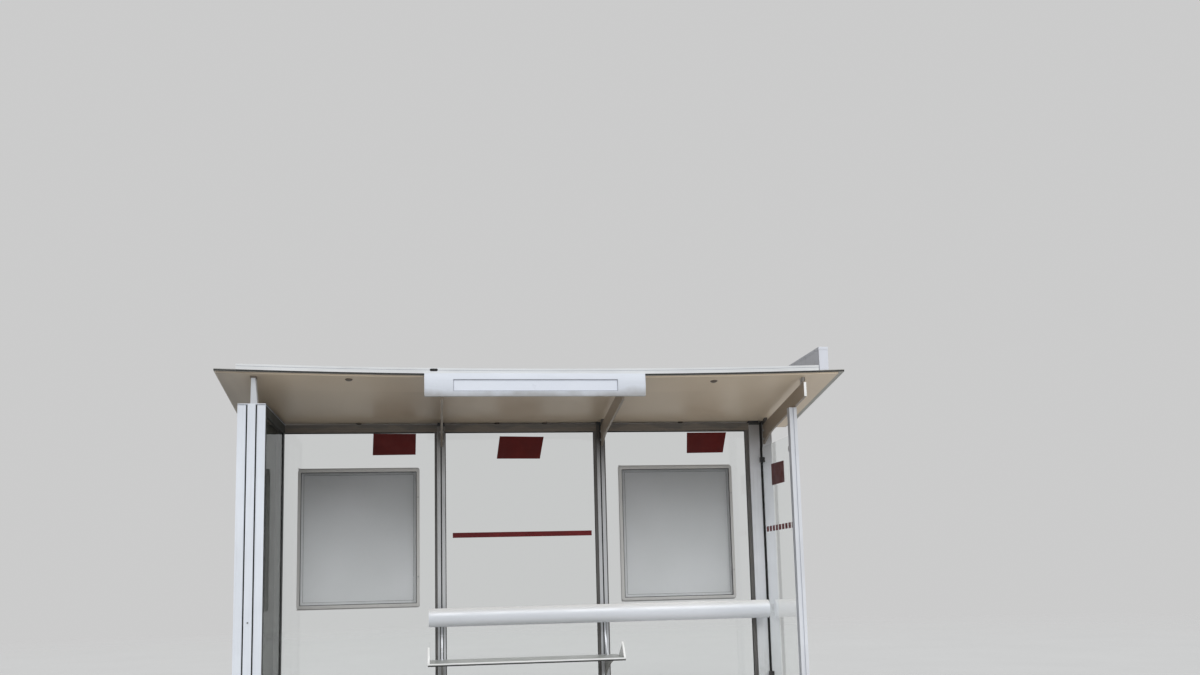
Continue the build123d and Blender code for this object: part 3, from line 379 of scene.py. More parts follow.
def soffit(name):
    """Taupe laminate, half gloss, with faint water marks and soft runs. Painted light makes it paler in
    its front third, on its left half and towards its right end, and painted shade darkens its left end."""
    f = Finish(name)
    tone = f.mix(f.uneven(0.0, 1.0, 0.9, 3), (187, 171, 150), (172, 156, 137))
    # Painted light and shade by place
    for axis, low, high, colour, amount in (
            (Y, -0.292, -0.300, (192, 176, 156), 0.60), (X, -0.75, -1.35, (208, 191, 168), 0.5),
            (X, -1.70, -2.15, (142, 131, 116), 0.95), (X, 0.2, 1.5, (221, 203, 179), 0.85)):
        tone = f.lay(tone, f.spread(f.axis(axis), low, high), amount, colour)
    tone = f.lay(tone, f.patches(0.50, 0.80, 2.2, 2, (1.0, 0.5, 1.0)), 0.10, (140, 127, 112))
    tone = f.lay(tone, f.patches(0.50, 0.80, 5, 1, (1.4, 0.10, 1.0)), 0.16, (200, 184, 164))
    f.done(f.principled(tone, f.uneven(0.38, 0.44, 1.8, 1), f.bump(f.noise(300, 2), 0.08, 0.0002)))


def rubber(name, first, second):
    f = Finish(name)
    tone = f.mix(f.patches(0.35, 0.7, 40, 4), first, second)
    f.done(f.principled(tone, f.uneven(0.55, 0.78, 60, 3), f.bump(f.noise(300, 2), 0.25, 0.0004)))


def glass(name, index):
    """Clear toughened glass with a film of dust and faint wipe marks. Lamps reach what is behind it."""
    f = Finish(name)
    film = f.spread(f.noise(3.0, 5, (1.0, 1.0, 0.4)), 0.35, 0.75, 0.0, 0.05)
    wipes = f.spread(f.noise(9.0, 3, (0.5, 0.5, 3.0)), 0.55, 0.8, 0.0, 0.05)
    wear = f.math("ADD", film, wipes)
    pane = f.principled((0.950, 0.966, 0.962, 1.0), wear, Transmission_Weight=1.0, IOR=index)
    see = f.feed(f.put("ShaderNodeBsdfTransparent"), (0.92, 0.938, 0.93, 1.0))
    ray = f.put("ShaderNodeLightPath")
    f.done(f.joined(ray.outputs["Is Shadow Ray"], pane, see))


def paper(name, colour, shade, rough=0.5, shine=0.5):
    """A blank sheet: slight waves, a tone that drifts a little and fine grain."""
    f = Finish(name)
    tone = f.mix(f.uneven(0.0, 1.0, 1.8, 4), colour, shade)
    tone = f.lay(tone, f.patches(0.5, 0.8, 240, 3), 0.08, (150, 148, 142))
    f.done(f.principled(tone, f.uneven(rough - 0.05, rough + 0.08, 6, 3),
                        f.bump(f.noise(4.0, 2), 0.25, 0.003), Specular_IOR_Level=shine))


def faded_red(name, first, second, pale):
    f = Finish(name)
    tone = f.mix(f.uneven(0.0, 1.0, 7, 4), first, second)
    tone = f.lay(tone, f.patches(0.5, 0.8, 30, 4), 0.2, pale)
    f.done(f.principled(tone, f.uneven(0.40, 0.56, 20, 3), f.bump(f.noise(60, 2), 0.15, 0.0003),
                        Specular_IOR_Level=0.3))


roof_skin("roof_skin")
soffit("soffit")
rubber("seal", (34, 34, 35), (54, 53, 51))
rubber("black_seal", (16, 16, 17), (28, 28, 28))
rubber("grey_seal", (176, 179, 188), (164, 167, 176))
glass("clear_glass", 1.45)
glass("matt_glass", 1.04)
paper("blank_sheet", (217, 216, 220), (209, 209, 212))
# Dark grey-green posters, a painted reflection of dark surroundings in the box's door glass.
paper("dark_poster_painted_reflection", (64, 67, 61), (54, 58, 53), 0.6, 0.1)
paper("lamp_panel", (235, 236, 234), (224, 226, 224), 0.4)
paper("sign_panel", (236, 241, 250), (230, 235, 246), 0.3)
faded_red("label_red", (100, 15, 11), (86, 12, 9), (122, 38, 30))
faded_red("band_red", (122, 30, 33), (106, 26, 29), (138, 58, 58))
coated("steel", (186, 187, 186), (112, 106, 98), rough=0.32, metal=0.8, cloud=0.08, cloud_scale=60,
       streaks=0.05, splash=0.3, dust=0.2, bump=0.1)

NODE_FINISH = {
    "display_box_body": "box_silver", "box_door_inner": "inner_door_silver_painted_shade",
    "box_door_outer": "box_silver", "box_roof_supports": "tower_silver", "box_roof_pad": "pad_brown",
    "front_post": "front_silver_painted_shade", "post_1": "post_1_silver_painted_shade", "post_2": "post_silver",
    "post_3": "post_3_silver_painted_head_shade", "corner_post": "corner_silver", "corner_post_seal": "black_seal",
    "top_rails": "top_rail_painted_shade", "arm_2": "arm_taupe", "arm_3": "arm_taupe", "arm_4": "arm_taupe",
    "roof_spacers": "spacer_grey", "seat_gussets": "gusset_dark", "seat_sheet": "seat_metal",
    "seat_hangers": "bright_silver", "box_door_glass_inner": "matt_glass",
    "box_door_glass_outer": "matt_glass", "roof_end_trims": "roof_trim", "poster_inner": "dark_poster_painted_reflection",
    "poster_outer": "dark_poster_painted_reflection", "side_glass_clamps": "clamp_metal",
}
for name, node in nodes.items():
    for holder in node.material_slots:
        key = NODE_FINISH.get(name) or (holder.material.name.split(".")[0] if holder.material else "")
        holder.material = finishes.get(key, finishes["frame_grey"])


# Small fittings
SMOOTH_ANGLE = math.radians(35)
HAIR = 0.0001  # keeps a fitting's face off the face behind it


def rounded(width, height, corner, steps=5):
    """Points of a rectangle with rounded corners, its middle at 0."""
    points = []
    for sx, sy, start in ((1, -1, -90), (1, 1, 0), (-1, 1, 90), (-1, -1, 180)):
        for k in range(steps + 1):
            a = math.radians(start + 90 * k / steps)
            points.append((sx * (width / 2 - corner) + corner * math.cos(a),
                           sy * (height / 2 - corner) + corner * math.sin(a)))
    return points


def skin(part, rings):
    """Faces between each ring of vertices and the next. A ring of one vertex is a pole."""
    for lower, upper in zip(rings, rings[1:]):
        count = max(len(lower), len(upper))
        for k in range(count):
            n = (k + 1) % count
            if len(lower) == 1:
                part.faces.new((lower[0], upper[n], upper[k]))
            elif len(upper) == 1:
                part.faces.new((lower[k], lower[n], upper[0]))
            else:
                part.faces.new((lower[k], lower[n], upper[n], upper[k]))


def ease(part, edge):
    """Rounds every edge off. The bevel goes by the faces' normals, so they are set first."""
    bmesh.ops.recalc_face_normals(part, faces=part.faces[:])
    bmesh.ops.bevel(part, geom=part.edges[:], offset=edge, segments=2, profile=0.6, affect="EDGES")


class Piece:
    """Gathers shapes into one mesh object."""

    def __init__(self, name, finish, body="root", slot=None):
        self.name = name
        self.finish = finish
        self.body = body
        self.slot = slot
        self.mesh = bmesh.new()

    def add(self, part, matrix=None):
        bmesh.ops.recalc_face_normals(part, faces=part.faces[:])
        held = bpy.data.meshes.new("held")
        part.to_mesh(held)
        part.free()
        if matrix is not None:
            held.transform(matrix)
        self.mesh.from_mesh(held)
        bpy.data.meshes.remove(held)

    def block(self, low, high, edge):
        part = bmesh.new()
        bmesh.ops.create_cube(part, size=1.0)
        size = Vector(high) - Vector(low)
        middle = (Vector(high) + Vector(low)) / 2
        stretch = Matrix.Translation(middle) @ Matrix.Diagonal((*size, 1.0))
        bmesh.ops.transform(part, matrix=stretch, verts=part.verts)
        ease(part, min(edge, min(size) * 0.45))
        self.add(part)

    def turned(self, profile, base, direction, segments=24, twist=0.0):
        """A turned shape: profile is a list of (radius, height) from the base along direction."""
        part = bmesh.new()
        rings = []
        for radius, height in profile:
            turns = [twist + 2 * math.pi * k / segments for k in range(segments)] if radius else [0.0]
            rings.append([part.verts.new((radius * math.cos(a), radius * math.sin(a), height))
                          for a in turns])
        skin(part, rings)
        turn = Vector(direction).normalized().to_track_quat("Z", "Y").to_matrix().to_4x4()
        self.add(part, Matrix.Translation(Vector(base)) @ turn)

    def prism(self, lower, upper, edge=0.0):
        """A solid between two outlines with as many points each."""
        part = bmesh.new()
        low, high = ([part.verts.new(point) for point in outline] for outline in (lower, upper))
        part.faces.new(low[::-1])
        part.faces.new(high)
        skin(part, (low, high))
        if edge:
            ease(part, edge)
        self.add(part)

    def plate(self, outline, origin, across, upward, thickness, edge=0.0):
        """A flat plate from an outline in the plane of across and upward, thickened along their normal."""
        across, upward = Vector(across), Vector(upward)
        lift = across.cross(upward) * thickness
        lower = [Vector(origin) + across * a + upward * b for a, b in outline]
        self.prism(lower, [point + lift for point in lower], edge)

    def ring(self, origin, across, upward, width, height, bar, thickness, corner):
        """A rectangular frame of flat bar, its middle at origin."""
        part = bmesh.new()
        across, upward = Vector(across), Vector(upward)
        normal = across.cross(upward)
        inner_corner = max(corner - bar, 0.0005)
        low_out, high_out, low_in, high_in = (
            [part.verts.new(Vector(origin) + across * a + upward * b + normal * lift) for a, b in outline]
            for outline in (rounded(width, height, corner, 6),
                            rounded(width - 2 * bar, height - 2 * bar, inner_corner, 6))
            for lift in (0.0, thickness))
        skin(part, (low_out, high_out, high_in, low_in, low_out))
        self.add(part)

    def strip(self, line, low, high, thickness):
        """A flat strip of metal bent along a line of (y, z) points, from low to high in x, its outer
        side to the left of the line."""
        part = bmesh.new()
        rows = []
        for k, (y, z) in enumerate(line):
            before = line[max(k - 1, 0)]
            after = line[min(k + 1, len(line) - 1)]
            run = Vector((after[0] - before[0], after[1] - before[1])).normalized()
            out = Vector((-run.y, run.x)) * thickness
            rows.append([part.verts.new(p) for p in ((low, y, z), (high, y, z), (high, y + out.x, z + out.y),
                                                     (low, y + out.x, z + out.y))])
        skin(part, rows)
        part.faces.new(rows[0])
        part.faces.new(rows[-1][::-1])
        self.add(part)

    def build(self):
        data = bpy.data.meshes.new(self.name)
        self.mesh.to_mesh(data)
        self.mesh.free()
        for polygon in data.polygons:
            polygon.use_smooth = True
        data.set_sharp_from_angle(angle=SMOOTH_ANGLE)
        data.materials.append(finishes[self.finish])
        made = placed(self.name, data)
        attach(made, self.body)


def scaled(profile, size):
    return [(radius * size, height * size) for radius, height in profile]


HEAD_LIFT = 0.0012
BUTTON_WASHER = [(0.0, 0.0), (0.0112, 0.0), (0.0112, 0.0011), (0.0090, 0.0013)]
BUTTON = [(0.0, 0.0016), (0.0028, 0.0016), (0.0030, 0.0044), (0.0052, 0.0040), (0.0078, 0.0026),
          (0.0090, 0.0006), (0.0090, 0.0)]
HEXAGON_WASHER = [(0.0, 0.0), (0.0120, 0.0), (0.0120, 0.0012), (0.0, 0.0014)]
HEXAGON = [(0.0, 0.0), (0.0082, 0.0), (0.0086, 0.0006), (0.0086, 0.0046), (0.0078, 0.0054), (0.0, 0.0054)]


def headed(piece, washer, head, base, direction, size, *shape):
    """A screw's head standing on its washer."""
    piece.turned(scaled(washer, size), base, direction)
    lift = Vector(direction).normalized() * HEAD_LIFT * size
    piece.turned(scaled(head, size), Vector(base) + lift, direction, *shape)


def button_head(piece, base, direction, size=1.0):
    """A button head screw with its socket, on a thin washer."""
    headed(piece, BUTTON_WASHER, BUTTON, base, direction, size)


def hexagon_head(piece, base, direction, size=1.0):
    """A hexagon head on a washer."""
    headed(piece, HEXAGON_WASHER, HEXAGON, base, direction, size, 6, 0.25)


ANCHOR_WASHER = [(0.0, 0.0), (0.0150, 0.0), (0.0150, 0.0020), (0.0145, 0.0025), (0.0, 0.0025)]
ANCHOR_NUT = [(0.0, 0.0), (0.0110, 0.0), (0.0116, 0.0008), (0.0116, 0.0090), (0.0104, 0.0102), (0.0, 0.0102)]
THREAD_PITCH = 0.0016


def anchor(piece, base, hole_depth):
    """A hexagon nut on a washer with the threaded end standing out, its stud going down in the hole."""
    piece.turned([(0.0062, -hole_depth + 0.0004), (0.0062, 0.0)], base, UP, 16)
    piece.turned(ANCHOR_WASHER, base, UP, 28)
    piece.turned(ANCHOR_NUT, base + Vector((0, 0, 0.0025)), UP, 6, 0.3)
    thread = [(0.0, 0.0)]
    height = 0.0
    while height < 0.010:
        thread += [(0.0060, height + 0.0003), (0.0053, height + 0.0010)]
        height += THREAD_PITCH
    thread += [(0.0056, height), (0.0044, height + 0.0012), (0.0, height + 0.0012)]
    piece.turned(thread, base + Vector((0, 0, 0.0127)), UP, 16)


def surface(node, aim):
    """A function that gives where a ray along aim first meets the node, from the point handed in."""
    data = nodes[node].data
    tree = BVHTree.FromPolygons([v.co for v in data.vertices], [list(p.vertices) for p in data.polygons])
    return lambda x, y, z: tree.ray_cast(Vector((x, y, z)), Vector(aim))[:2]


under = surface("roof_soffit", UP)
over = surface("roof_sheet", DOWN)
BELOW_ROOF = 0.5
ABOVE_ROOF = 3.0

# Oval covers over the roof's through bolts, on the soffit
COVER_DOME = [(0.0, 0.0110), (0.012, 0.0100), (0.0205, 0.0066), (0.0250, 0.0022), (0.0262, 0.0010),
              (0.0262, -0.0004)]
FRONT_COVERS = ((-627, -1055), (435, -1045), (811, -1045), (1938, -1025))
REAR_COVERS = ((-630, 28), (435, 28), (811, 28), (1909, 28))
covers = Piece("soffit_covers", "cover_brown", slot="dark_cap")
for spots, size in ((FRONT_COVERS, 1.0), (REAR_COVERS, 0.85)):
    for px, py in spots:
        hit, normal = under(*at(px, py, 1000 * BELOW_ROOF))
        covers.turned(scaled(COVER_DOME, size), hit, normal if normal.z < 0 else -normal, 32)
covers.build()

# Labels and bands on the glass, all bare red
FILM = 0.0004
glass_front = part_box("back_glass_1")[0].y
side_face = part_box("side_glass")[0].x
labels = Piece("glass_labels", "label_red")


def on_back_glass(piece, corners):
    """A thin film on the back glass, from corners in millimetres along and up."""
    spots = [at(along, 0, height) for along, height in corners]
    piece.plate([(s.x, s.z) for s in spots], (0, glass_front - HAIR, 0), ALONG, UP, FILM)


on_back_glass(labels, ((-524, 2004), (-196, 2006), (-193, 2170), (-519, 2172)))
on_back_glass(labels, ((432, 1969), (771, 1966), (804, 2140), (457, 2146)))
on_back_glass(labels, ((1953, 2000), (2250, 2003), (2284, 2167), (1960, 2166)))
spots = [at(0, along, height) for along, height in ((-595, 1706), (-265, 1708), (-265, 1876), (-595, 1868))]
labels.plate([(s.y, s.z) for s in spots], (side_face - 0.0003, 0, 0), (0, 1, 0), UP, FILM)
labels.build()

bands = Piece("glass_bands", "band_red")
on_back_glass(bands, ((86, 1357), (1169, 1357), (1169, 1396), (86, 1396)))
for k in range(9):
    middle = at(0, -97 - 82 * k, 1376)
    bands.plate(rounded(0.058, 0.042, 0.003), (side_face + HAIR, middle.y, middle.z), STREETWARDS, UP, FILM)
bands.build()

# Glazing stops in front of the glass beside each post, with their seals, and small beads elsewhere
SILL = 0.1502
HEAD = 2.1795
LEAST_STOP = 0.0012
BEAD_EDGE = 0.0016
# The stops' dark grey is partly painted shade on the posts' sides.
stops = Piece("glazing_stops", "stop_grey_and_painted_shade", slot="frame_grey")
stop_seals = Piece("glazing_seals", "black_seal", slot="seal")
beads = Piece("glazing_beads", "seal", slot="seal")
for name, left, right in (("back_glass_1", 0.0200, 0.0160), ("back_glass_2", 0.0, 0.0200),
                          ("back_glass_3", 0.0080, 0.0280)):
    low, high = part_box(name)
    for side, edge, width in ((1, low.x, left), (-1, high.x, right)):
        inner = edge + side * 0.0002
        outer = edge + side * max(width, LEAST_STOP)
        if width:
            x0, x1 = sorted((inner, outer))
            stops.block((x0, low.y - 0.0205, SILL), (x1, low.y - 0.0006, HEAD), 0.0012)
        x0, x1 = sorted((outer, outer + side * 0.0038))
        stop_seals.block((x0, low.y - 0.0058, SILL + 0.0002), (x1, low.y + 0.0002, HEAD - 0.0002), 0.0009)
        x0, x1 = sorted((inner, edge + side * 0.0062))
        beads.block((x0, high.y, SILL), (x1, high.y + 0.005, high.z - 0.0002), BEAD_EDGE)
    in_front = (low.x + max(left, LEAST_STOP) + 0.0042, high.x - right - 0.0042, low.y - 0.0056, low.y)
    behind = (low.x + 0.0062, high.x - 0.0062, high.y, high.y + 0.005)
    for x0, x1, y0, y1 in (in_front, behind):
        for z0, z1 in ((SILL, SILL + 0.0064), (high.z - 0.0066, high.z - 0.0002)):
            beads.block((x0, y0, z0), (x1, y1, z1), BEAD_EDGE)
stops.build()
beads.build()

# Black channel along the side glass's rear edge, from the foot to the glass's head
CHANNEL = 0.0052
side_low, side_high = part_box("side_glass")
for x0, x1 in ((side_low.x - CHANNEL, side_low.x - HAIR), (side_high.x + HAIR, side_high.x + CHANNEL)):
    stop_seals.block((x0, side_high.y - 0.0150, side_low.z + 0.001),
                     (x1, side_high.y - 0.0002, side_high.z), 0.0010)
stop_seals.build()

# Black strips in the posts' grooves, and dark plates and pads at the posts' heads
GROOVE_HALF = 0.0047
POST_HEAD = 2.2402
inserts = Piece("groove_strips", "black_seal", slot="seal")
heads = Piece("post_head_pads", "dark_cap", slot="dark_cap")
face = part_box("post_2")[0].y
for name in ("post_1", "post_2", "post_3"):
    low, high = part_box(name)
    middle = (low.x + high.x) / 2
    inserts.block((middle - GROOVE_HALF, face + 0.0016, low.z + 0.001),
                  (middle + GROOVE_HALF, face + 0.0060, high.z - 0.001), 0.0008)


def head_pad(x0, x1):
    """A pad between a post's cap and the soffit, following the soffit's fall."""
    y0, y1 = face + 0.006, face + 0.070
    corners = ((x0, y0), (x1, y0), (x1, y1), (x0, y1))
    heads.prism([(x, y, POST_HEAD) for x, y in corners],
                [(x, y, under(x, y, BELOW_ROOF)[0].z - 0.0004) for x, y in corners])


corner_low, corner_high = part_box("corner_post")
seal_low, seal_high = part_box("corner_post_seal")
profiles = [(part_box(n)[0].x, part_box(n)[1].x) for n in ("post_2", "post_3")]
profiles += [(corner_low.x, seal_low.x), (seal_high.x, corner_high.x)]
for x0, x1 in profiles:
    heads.block((x0 + 0.0006, face - 0.0012, 2.2225), (x1 - 0.0006, face - HAIR, 2.2368), 0.0004)
    if under((x0 + x1) / 2, face + 0.07, BELOW_ROOF)[0] is not None:
        head_pad(x0 + 0.003, x1 - 0.003)
inserts.build()
heads.build()

# Dark backing each side of the seat's hangers, and bolts through the hangers and gussets
SEAT_POSTS = (0, 1250)
HANGER_FACE = 0.0060
backing = Piece("hanger_backings", "black_seal", slot="seal")
bolts = Piece("bracket_bolts", "steel", slot="zinc_plate")
for px in SEAT_POSTS:
    post = at(px, 0, 0)
    for side in (-1, 1):
        x0, x1 = sorted((post.x + side * 0.0061, post.x + side * 0.0125))
        backing.block((x0, face - 0.0013, 0.4425), (x1, face - HAIR, 0.6866), 0.0004)
        for height in (0.50, 0.62):
            button_head(bolts, (post.x + side * HANGER_FACE, face - 0.012, height), (side, 0, 0), 0.55)
        for y in (face - 0.03, face - 0.30):
            button_head(bolts, (post.x + side * HANGER_FACE, y, 0.415), (side, 0, 0), 0.7)
backing.build()

# Bolts at the arms' roots and a plate on each arm's tip, with dark edges on the tips' spacers; the corner
# arm's plate is near white, a painted highlight on its lit end
tips = Piece("arm_tip_plates", "arm_taupe", slot="frame_grey")
corner_tip_painted_highlight = Piece("corner_arm_tip_plate_painted_highlight", "hem_white_painted_highlight", slot="frame_grey")
shims = Piece("spacer_shims", "black_seal", slot="seal")
for name in ("arm_2", "arm_3", "arm_4"):
    low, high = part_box(name)
    tip = [v.co.z for v in nodes[name].data.vertices if v.co.y < low.y + 0.0004]
    holder = corner_tip_painted_highlight if name == "arm_4" else tips
    holder.block((low.x - 0.0012, low.y - 0.0022, min(tip) + 0.001),
                 (high.x + 0.0012, low.y - HAIR, max(tip) - 0.001), 0.0007)
    for z in (2.105, 2.175):
        hexagon_head(bolts, (low.x, high.y - 0.030, z), (-1, 0, 0))
        hexagon_head(bolts, (high.x, high.y - 0.030, z), ALONG)
    middle = (low.x + high.x) / 2
    for side in (-1, 1):
        x0, x1 = sorted((middle + side * 0.0085, middle + side * 0.0118))
        shims.block((x0, low.y + 0.0305, 2.3835), (x1, low.y + 0.0318, 2.4200), 0.0005)
tips.build()
corner_tip_painted_highlight.build()
shims.build()

# Bolts in the side glass's clamps and the rail's brackets
BOLT_INSET = 0.0201
clamp_low, clamp_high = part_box("side_glass_clamps")
levels = sorted({round(v.co.z, 3) for v in nodes["side_glass_clamps"].data.vertices})
for foot, top in zip(levels[::2], levels[1::2]):
    for y in (clamp_low.y + BOLT_INSET, clamp_high.y - BOLT_INSET):
        if y < 0:
            hexagon_head(bolts, (clamp_low.x, y, (foot + top) / 2), (-1, 0, 0), 0.8)
        hexagon_head(bolts, (clamp_high.x, y, (foot + top) / 2), ALONG, 0.8)
bracket_low, bracket_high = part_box("leaning_rail_brackets")
for px in (0, 1250, 2508):
    for side in (-1, 1):
        button_head(bolts, (at(px, 0, 0).x + side * 0.0220, bracket_low.y + 0.045,
                            (bracket_low.z + bracket_high.z) / 2), (side, 0, 0))
bolts.build()

# Wall cases: seal and printed border on the cover's glass, two locks in its free side
LOCK_FROM_END = 0.22
LOCK_FROM_SIDE = 0.0108
LOCK_PROFILE = [(0.0, 0.0), (0.0070, 0.0), (0.0070, 0.0012), (0.0062, 0.0020), (0.0, 0.0020)]
for number in (1, 2):
    low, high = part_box(f"case_{number}_door")
    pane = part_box(f"case_{number}_glass")[0].y
    centre = ((low.x + high.x) / 2, pane, (low.z + high.z) / 2)
    wide = high.x - low.x
    tall = high.z - low.z
    body = f"case_{number}_cover"
    seal = Piece(f"case_{number}_seal", "black_seal", body, "seal")
    seal.ring(centre, ALONG, UP, wide - 0.0442, tall - 0.0442, 0.0042, 0.0024, 0.004)
    seal.ring(centre, ALONG, UP, wide - 0.0880, tall - 0.0880, 0.0018, 0.0002, 0.003)
    seal.build()
    locks = Piece(f"case_{number}_locks", "steel", body, "zinc_plate")
    slots = Piece(f"case_{number}_keyholes", "black_seal", body, "dark_cap")
    for height in (low.z + LOCK_FROM_END, high.z - LOCK_FROM_END):
        x = high.x - LOCK_FROM_SIDE
        locks.turned(LOCK_PROFILE, (x, low.y, height), STREETWARDS, 28)
        slots.block((x - 0.0008, low.y - 0.0024, height - 0.0030),
                    (x + 0.0008, low.y - 0.0019, height + 0.0030), 0.0002)
    locks.build()
    slots.build()

# Display box: seals round the door glass and a slot in the lock
BOX_BARS = 0.1302  # both bars of a door beside its glass
for word, side in (("outer", -1), ("inner", 1)):
    low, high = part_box(f"box_door_{word}")
    glass_low, glass_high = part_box(f"box_door_glass_{word}")
    outer = glass_low.x if side < 0 else glass_high.x
    ring = Piece(f"box_{word}_door_seal", "black_seal", f"{word}_box_door", "seal")
    centre = (outer, (low.y + high.y) / 2, (low.z + high.z) / 2)
    ring.ring(centre, (0, side, 0), UP, high.y - low.y - BOX_BARS, high.z - low.z - BOX_BARS,
              0.0060, 0.0030, 0.004)
    ring.build()
lock_low, lock_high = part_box("display_box_lock")
slot = Piece("display_box_lock_slot", "black_seal", slot="dark_cap")
middle = (lock_low + lock_high) / 2
slot.block((middle.x - 0.0008, lock_low.y - 0.0004, middle.z - 0.0034),
           (middle.x + 0.0008, lock_low.y + 0.0002, middle.z + 0.0034), 0.0001)
slot.build()

# Roof's front edge: dark drip strips beyond the fascia's ends, and a crease and a plug on the fascia
DRIP_BLOCKS = 8
edge_strips = Piece("roof_edge_strips", "seal", slot="seal")
front_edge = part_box("roof_sheet")[0].y
fascia_low, fascia_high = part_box("front_fascia")
roof_low, roof_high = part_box("roof_sheet")
for x0, x1 in ((roof_low.x + 0.001, fascia_low.x - 0.0015), (fascia_high.x + 0.0015, roof_high.x - 0.001)):
    for k in range(DRIP_BLOCKS):
        left = x0 + (x1 - x0) * k / DRIP_BLOCKS
        right = x0 + (x1 - x0) * (k + 1) / DRIP_BLOCKS
        top, _ = over((left + right) / 2, front_edge + 0.002, ABOVE_ROOF)
        edge_strips.block((left, front_edge - 0.0010, top.z - 0.0148),
                          (right, front_edge - HAIR, top.z - 0.0045), 0.0003)
edge_strips.build()
columns = {}
for vertex in nodes["front_fascia"].data.vertices:
    if vertex.co.y < fascia_low.y + 0.0005:
        x = round(vertex.co.x, 4)
        columns[x] = max(round(vertex.co.z, 4), columns.get(x, 0))
points = sorted(columns.items())
crease = Piece("fascia_crease", "grey_seal", slot="seal")
for (x0, z0), (x1, z1) in zip(points, points[1:]):
    corners = ((x0, z0 - 0.0165), (x1, z1 - 0.0165), (x1, z1 - 0.0140), (x0, z0 - 0.0140))
    crease.prism(*([(x, fascia_low.y - depth, z) for x, z in corners] for depth in (HAIR, 0.0006)))
crease.build()
plug = Piece("fascia_plug", "black_seal", slot="dark_cap")
spot = at(-51, 0, 2457)
plug.plate(rounded(0.054, 0.018, 0.0088, 7), (spot.x, fascia_low.y - HAIR, spot.z), ALONG, UP,
           0.0016, 0.0004)
plug.build()

# Header sign: a grey seal round its panel and small screws in its ends
panel_low, panel_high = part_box("header_sign_panel")
sign_seal = Piece("sign_panel_seal", "grey_seal", slot="seal")
sign_seal.ring(((panel_low.x + panel_high.x) / 2, panel_low.y, (panel_low.z + panel_high.z) / 2), ALONG, UP,
               panel_high.x - panel_low.x - 0.0004, panel_high.z - panel_low.z - 0.0004,
               0.0040, 0.0020, 0.003)
sign_seal.build()
screws = Piece("trim_screws", "steel", slot="zinc_plate")
sign_low, sign_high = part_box("header_sign_end_caps")
for x, side in ((sign_low.x, -1), (sign_high.x, 1)):
    for z in (sign_low.z + 0.03, sign_high.z - 0.03):
        button_head(screws, (x, -0.665, z), (side, 0, 0), 0.45)

# Sign box on the roof: folded lips along its head and screws along its sides
LIP = 0.0014
LIP_DEPTH = 0.022
box_low, box_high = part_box("roof_sign_box")
lips = Piece("sign_box_lips", "sign_box", slot="sign_box")
for x0, x1, y0, y1 in (
        (box_low.x - LIP, box_low.x - HAIR, box_low.y - 0.0012, box_high.y + 0.0012),
        (box_high.x + HAIR, box_high.x + LIP, box_low.y - 0.0012, box_high.y + 0.0012),
        (box_low.x - LIP, box_high.x + LIP, box_low.y - LIP, box_low.y - HAIR),
        (box_low.x - LIP, box_high.x + LIP, box_high.y + HAIR, box_high.y + LIP)):
    lips.block((x0, y0, box_high.z - LIP_DEPTH), (x1, y1, box_high.z - 0.0004), 0.0005)
lips.build()
for k in range(4):
    y = box_low.y + 0.08 + k * 0.245
    for x, side in ((box_low.x - LIP, -1), (box_high.x + LIP, 1)):
        button_head(screws, (x, y, box_high.z - LIP_DEPTH / 2), (side, 0, 0), 0.5)
screws.build()

# Folded edges of the seat, front lip and the two turned-up ends, near white as a painted highlight, with a
# dark strip below as a painted shadow
SEAT_SKIN = 0.4425
HEM_WIDTH = 0.0139
seat_low, seat_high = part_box("seat_sheet")
hems = Piece("seat_hems", "hem_white_painted_highlight", slot="rail_metal")
hems.block((seat_low.x, seat_low.y - 0.0012, 0.4335), (seat_high.x, seat_low.y - HAIR, 0.4422), 0.0005)
curve = sorted({(round(v.co.y, 4), round(v.co.z, 4)) for v in nodes["seat_sheet"].data.vertices
                if abs(v.co.x - seat_low.x) < 0.0003 and v.co.y < 0.098 and v.co.z > SEAT_SKIN},
               key=lambda p: p[1])
curve = [(seat_low.y, SEAT_SKIN)] + [p for p in curve if p[0] < 0.0972]
for x0, x1 in ((seat_low.x, seat_low.x + HEM_WIDTH), (seat_high.x - HEM_WIDTH, seat_high.x)):
    hems.strip(curve, x0, x1, 0.0012)
hems.build()
# A dark strip under the seat's front lip, a painted shadow.
lip_shadow = Piece("seat_lip_shadow_strip", "seal", slot="seal")
lip_shadow.block((seat_low.x + 0.002, seat_low.y - 0.0013, 0.4215),
           (seat_high.x - 0.002, seat_low.y + 0.0040, 0.4300), 0.0006)
lip_shadow.build()

# Joint covers and rivets on the roof's outer skin
SEAM_STEPS = 24
SEAM_HALF = 0.032
SEAM_THICKNESS = 0.0026
EDGE_INSET = 0.012
roof_seams = Piece("roof_joint_covers", "roof_cover", slot="bright_trim")
rivets = Piece("roof_rivets", "steel", slot="zinc_plate")
for px in (0, 1250):
    centre = at(px, 0, 0).x
    line = []
    for k in range(SEAM_STEPS + 1):
        y = front_edge + EDGE_INSET + (roof_high.y - front_edge - 2 * EDGE_INSET) * k / SEAM_STEPS
        top, _ = over(centre, y, ABOVE_ROOF)
        line.append((y, top.z + HAIR))
        if k % 3 == 1:
            for side in (-0.022, 0.022):
                spot, normal = over(centre + side, y, ABOVE_ROOF)
                button_head(rivets, spot + Vector((0, 0, SEAM_THICKNESS)),
                            normal if normal.z > 0 else -normal, 0.5)
    roof_seams.strip(line, centre - SEAM_HALF, centre + SEAM_HALF, SEAM_THICKNESS)
roof_seams.build()
rivets.build()

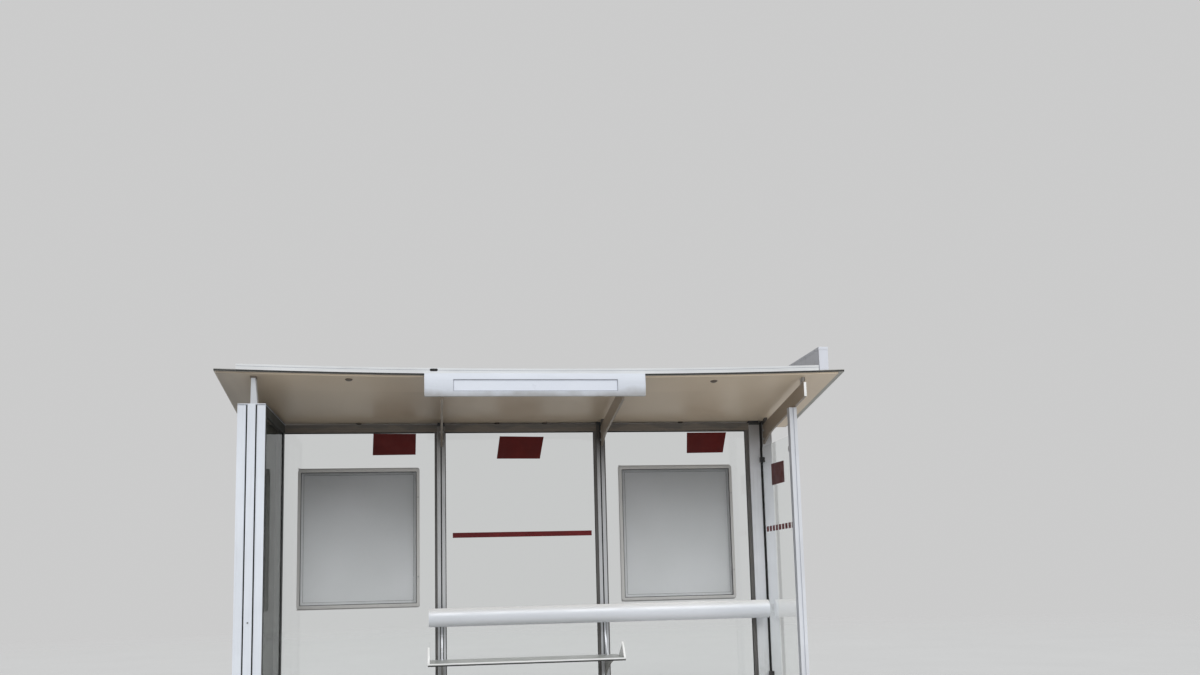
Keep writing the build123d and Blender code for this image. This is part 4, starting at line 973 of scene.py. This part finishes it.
# Anchors in the foot plates and the box's base plate: middle and half spacings, in millimetres
FEET = ((-1270, 40, 60, 60), (0, 40, 60, 60), (1250, 40, 60, 60), (2558.5, 40, 110, 60),
        (2565, -841, 47.5, 47.5), (-1270, -520, 77, 430))
PLATE_TOP = 0.012
anchors = Piece("foot_anchors", "steel", slot="zinc_plate")
for px, py, dx, dy in FEET:
    for sx in (-1, 1):
        for sy in (-1, 1):
            anchor(anchors, at(px + sx * dx, py + sy * dy, 1000 * PLATE_TOP), PLATE_TOP)
anchors.build()

# Floor, fading into the background far from the shelter
FLOOR_RADIUS = 26
FADE_FROM = 7.0
FADE_TO = 22.0


def floor_finish(name):
    f = Finish(name)
    tone = f.mix(f.uneven(0.0, 1.0, 0.8, 4), (0.62, 0.62, 0.615, 1.0), (0.60, 0.60, 0.595, 1.0))
    diffuse = f.principled(tone, 0.85, Specular_IOR_Level=0.2)
    reach = f.put("ShaderNodeVectorMath", operation="LENGTH")
    f.feed(reach, f.place)
    away = f.spread(reach.outputs["Value"], FADE_FROM, FADE_TO)
    clear = f.put("ShaderNodeBsdfTransparent")
    f.done(f.joined(away, diffuse, clear.outputs[0]))


floor_finish("floor")
ground = bmesh.new()
bmesh.ops.create_circle(ground, cap_ends=True, segments=96, radius=FLOOR_RADIUS)
ground_mesh = bpy.data.meshes.new("floor")
ground.to_mesh(ground_mesh)
ground.free()
ground_mesh.materials.append(finishes["floor"])
floor = placed("floor", ground_mesh)
floor.location = (0, 0, -0.0005)

# Light: a soft sky, brighter overhead, and one soft lamp from the street side
SKY_LOW = 0.36
SKY_HIGH = 0.86
SKY_TINT = (0.97, 0.985, 1.0, 1.0)
BACKGROUND = 0.60
world = bpy.data.worlds.new("world")
bpy.context.scene.world = world
world.use_nodes = True
sky = Nodes(world.node_tree, "ShaderNodeOutputWorld")
aim = sky.put("ShaderNodeTexCoord").outputs["Generated"]
rise = sky.spread(sky.split(aim, Z), 0.0, 1.0, SKY_LOW, SKY_HIGH)
light_sky = sky.feed(sky.put("ShaderNodeBackground"), SKY_TINT, rise)
seen_sky = sky.feed(sky.put("ShaderNodeBackground"), (BACKGROUND, BACKGROUND, BACKGROUND, 1.0), 1.0)
ray = sky.put("ShaderNodeLightPath").outputs
seen = sky.math("MAXIMUM", ray["Is Camera Ray"], ray["Is Glossy Ray"])
seen = sky.math("MAXIMUM", seen, ray["Is Transmission Ray"])
sky.done(sky.joined(seen, light_sky, seen_sky))

lamp_data = bpy.data.lights.new("key", "SUN")
lamp_data.energy = 1.45
lamp_data.angle = math.radians(40)
lamp = placed("key", lamp_data)
toward = Vector((0.15, -1.10, 1.20)).normalized()
lamp.matrix_world = toward.to_track_quat("Z", "Y").to_matrix().to_4x4()

bpy.context.scene.view_settings.view_transform = "Standard"

bpy.context.view_layer.update()
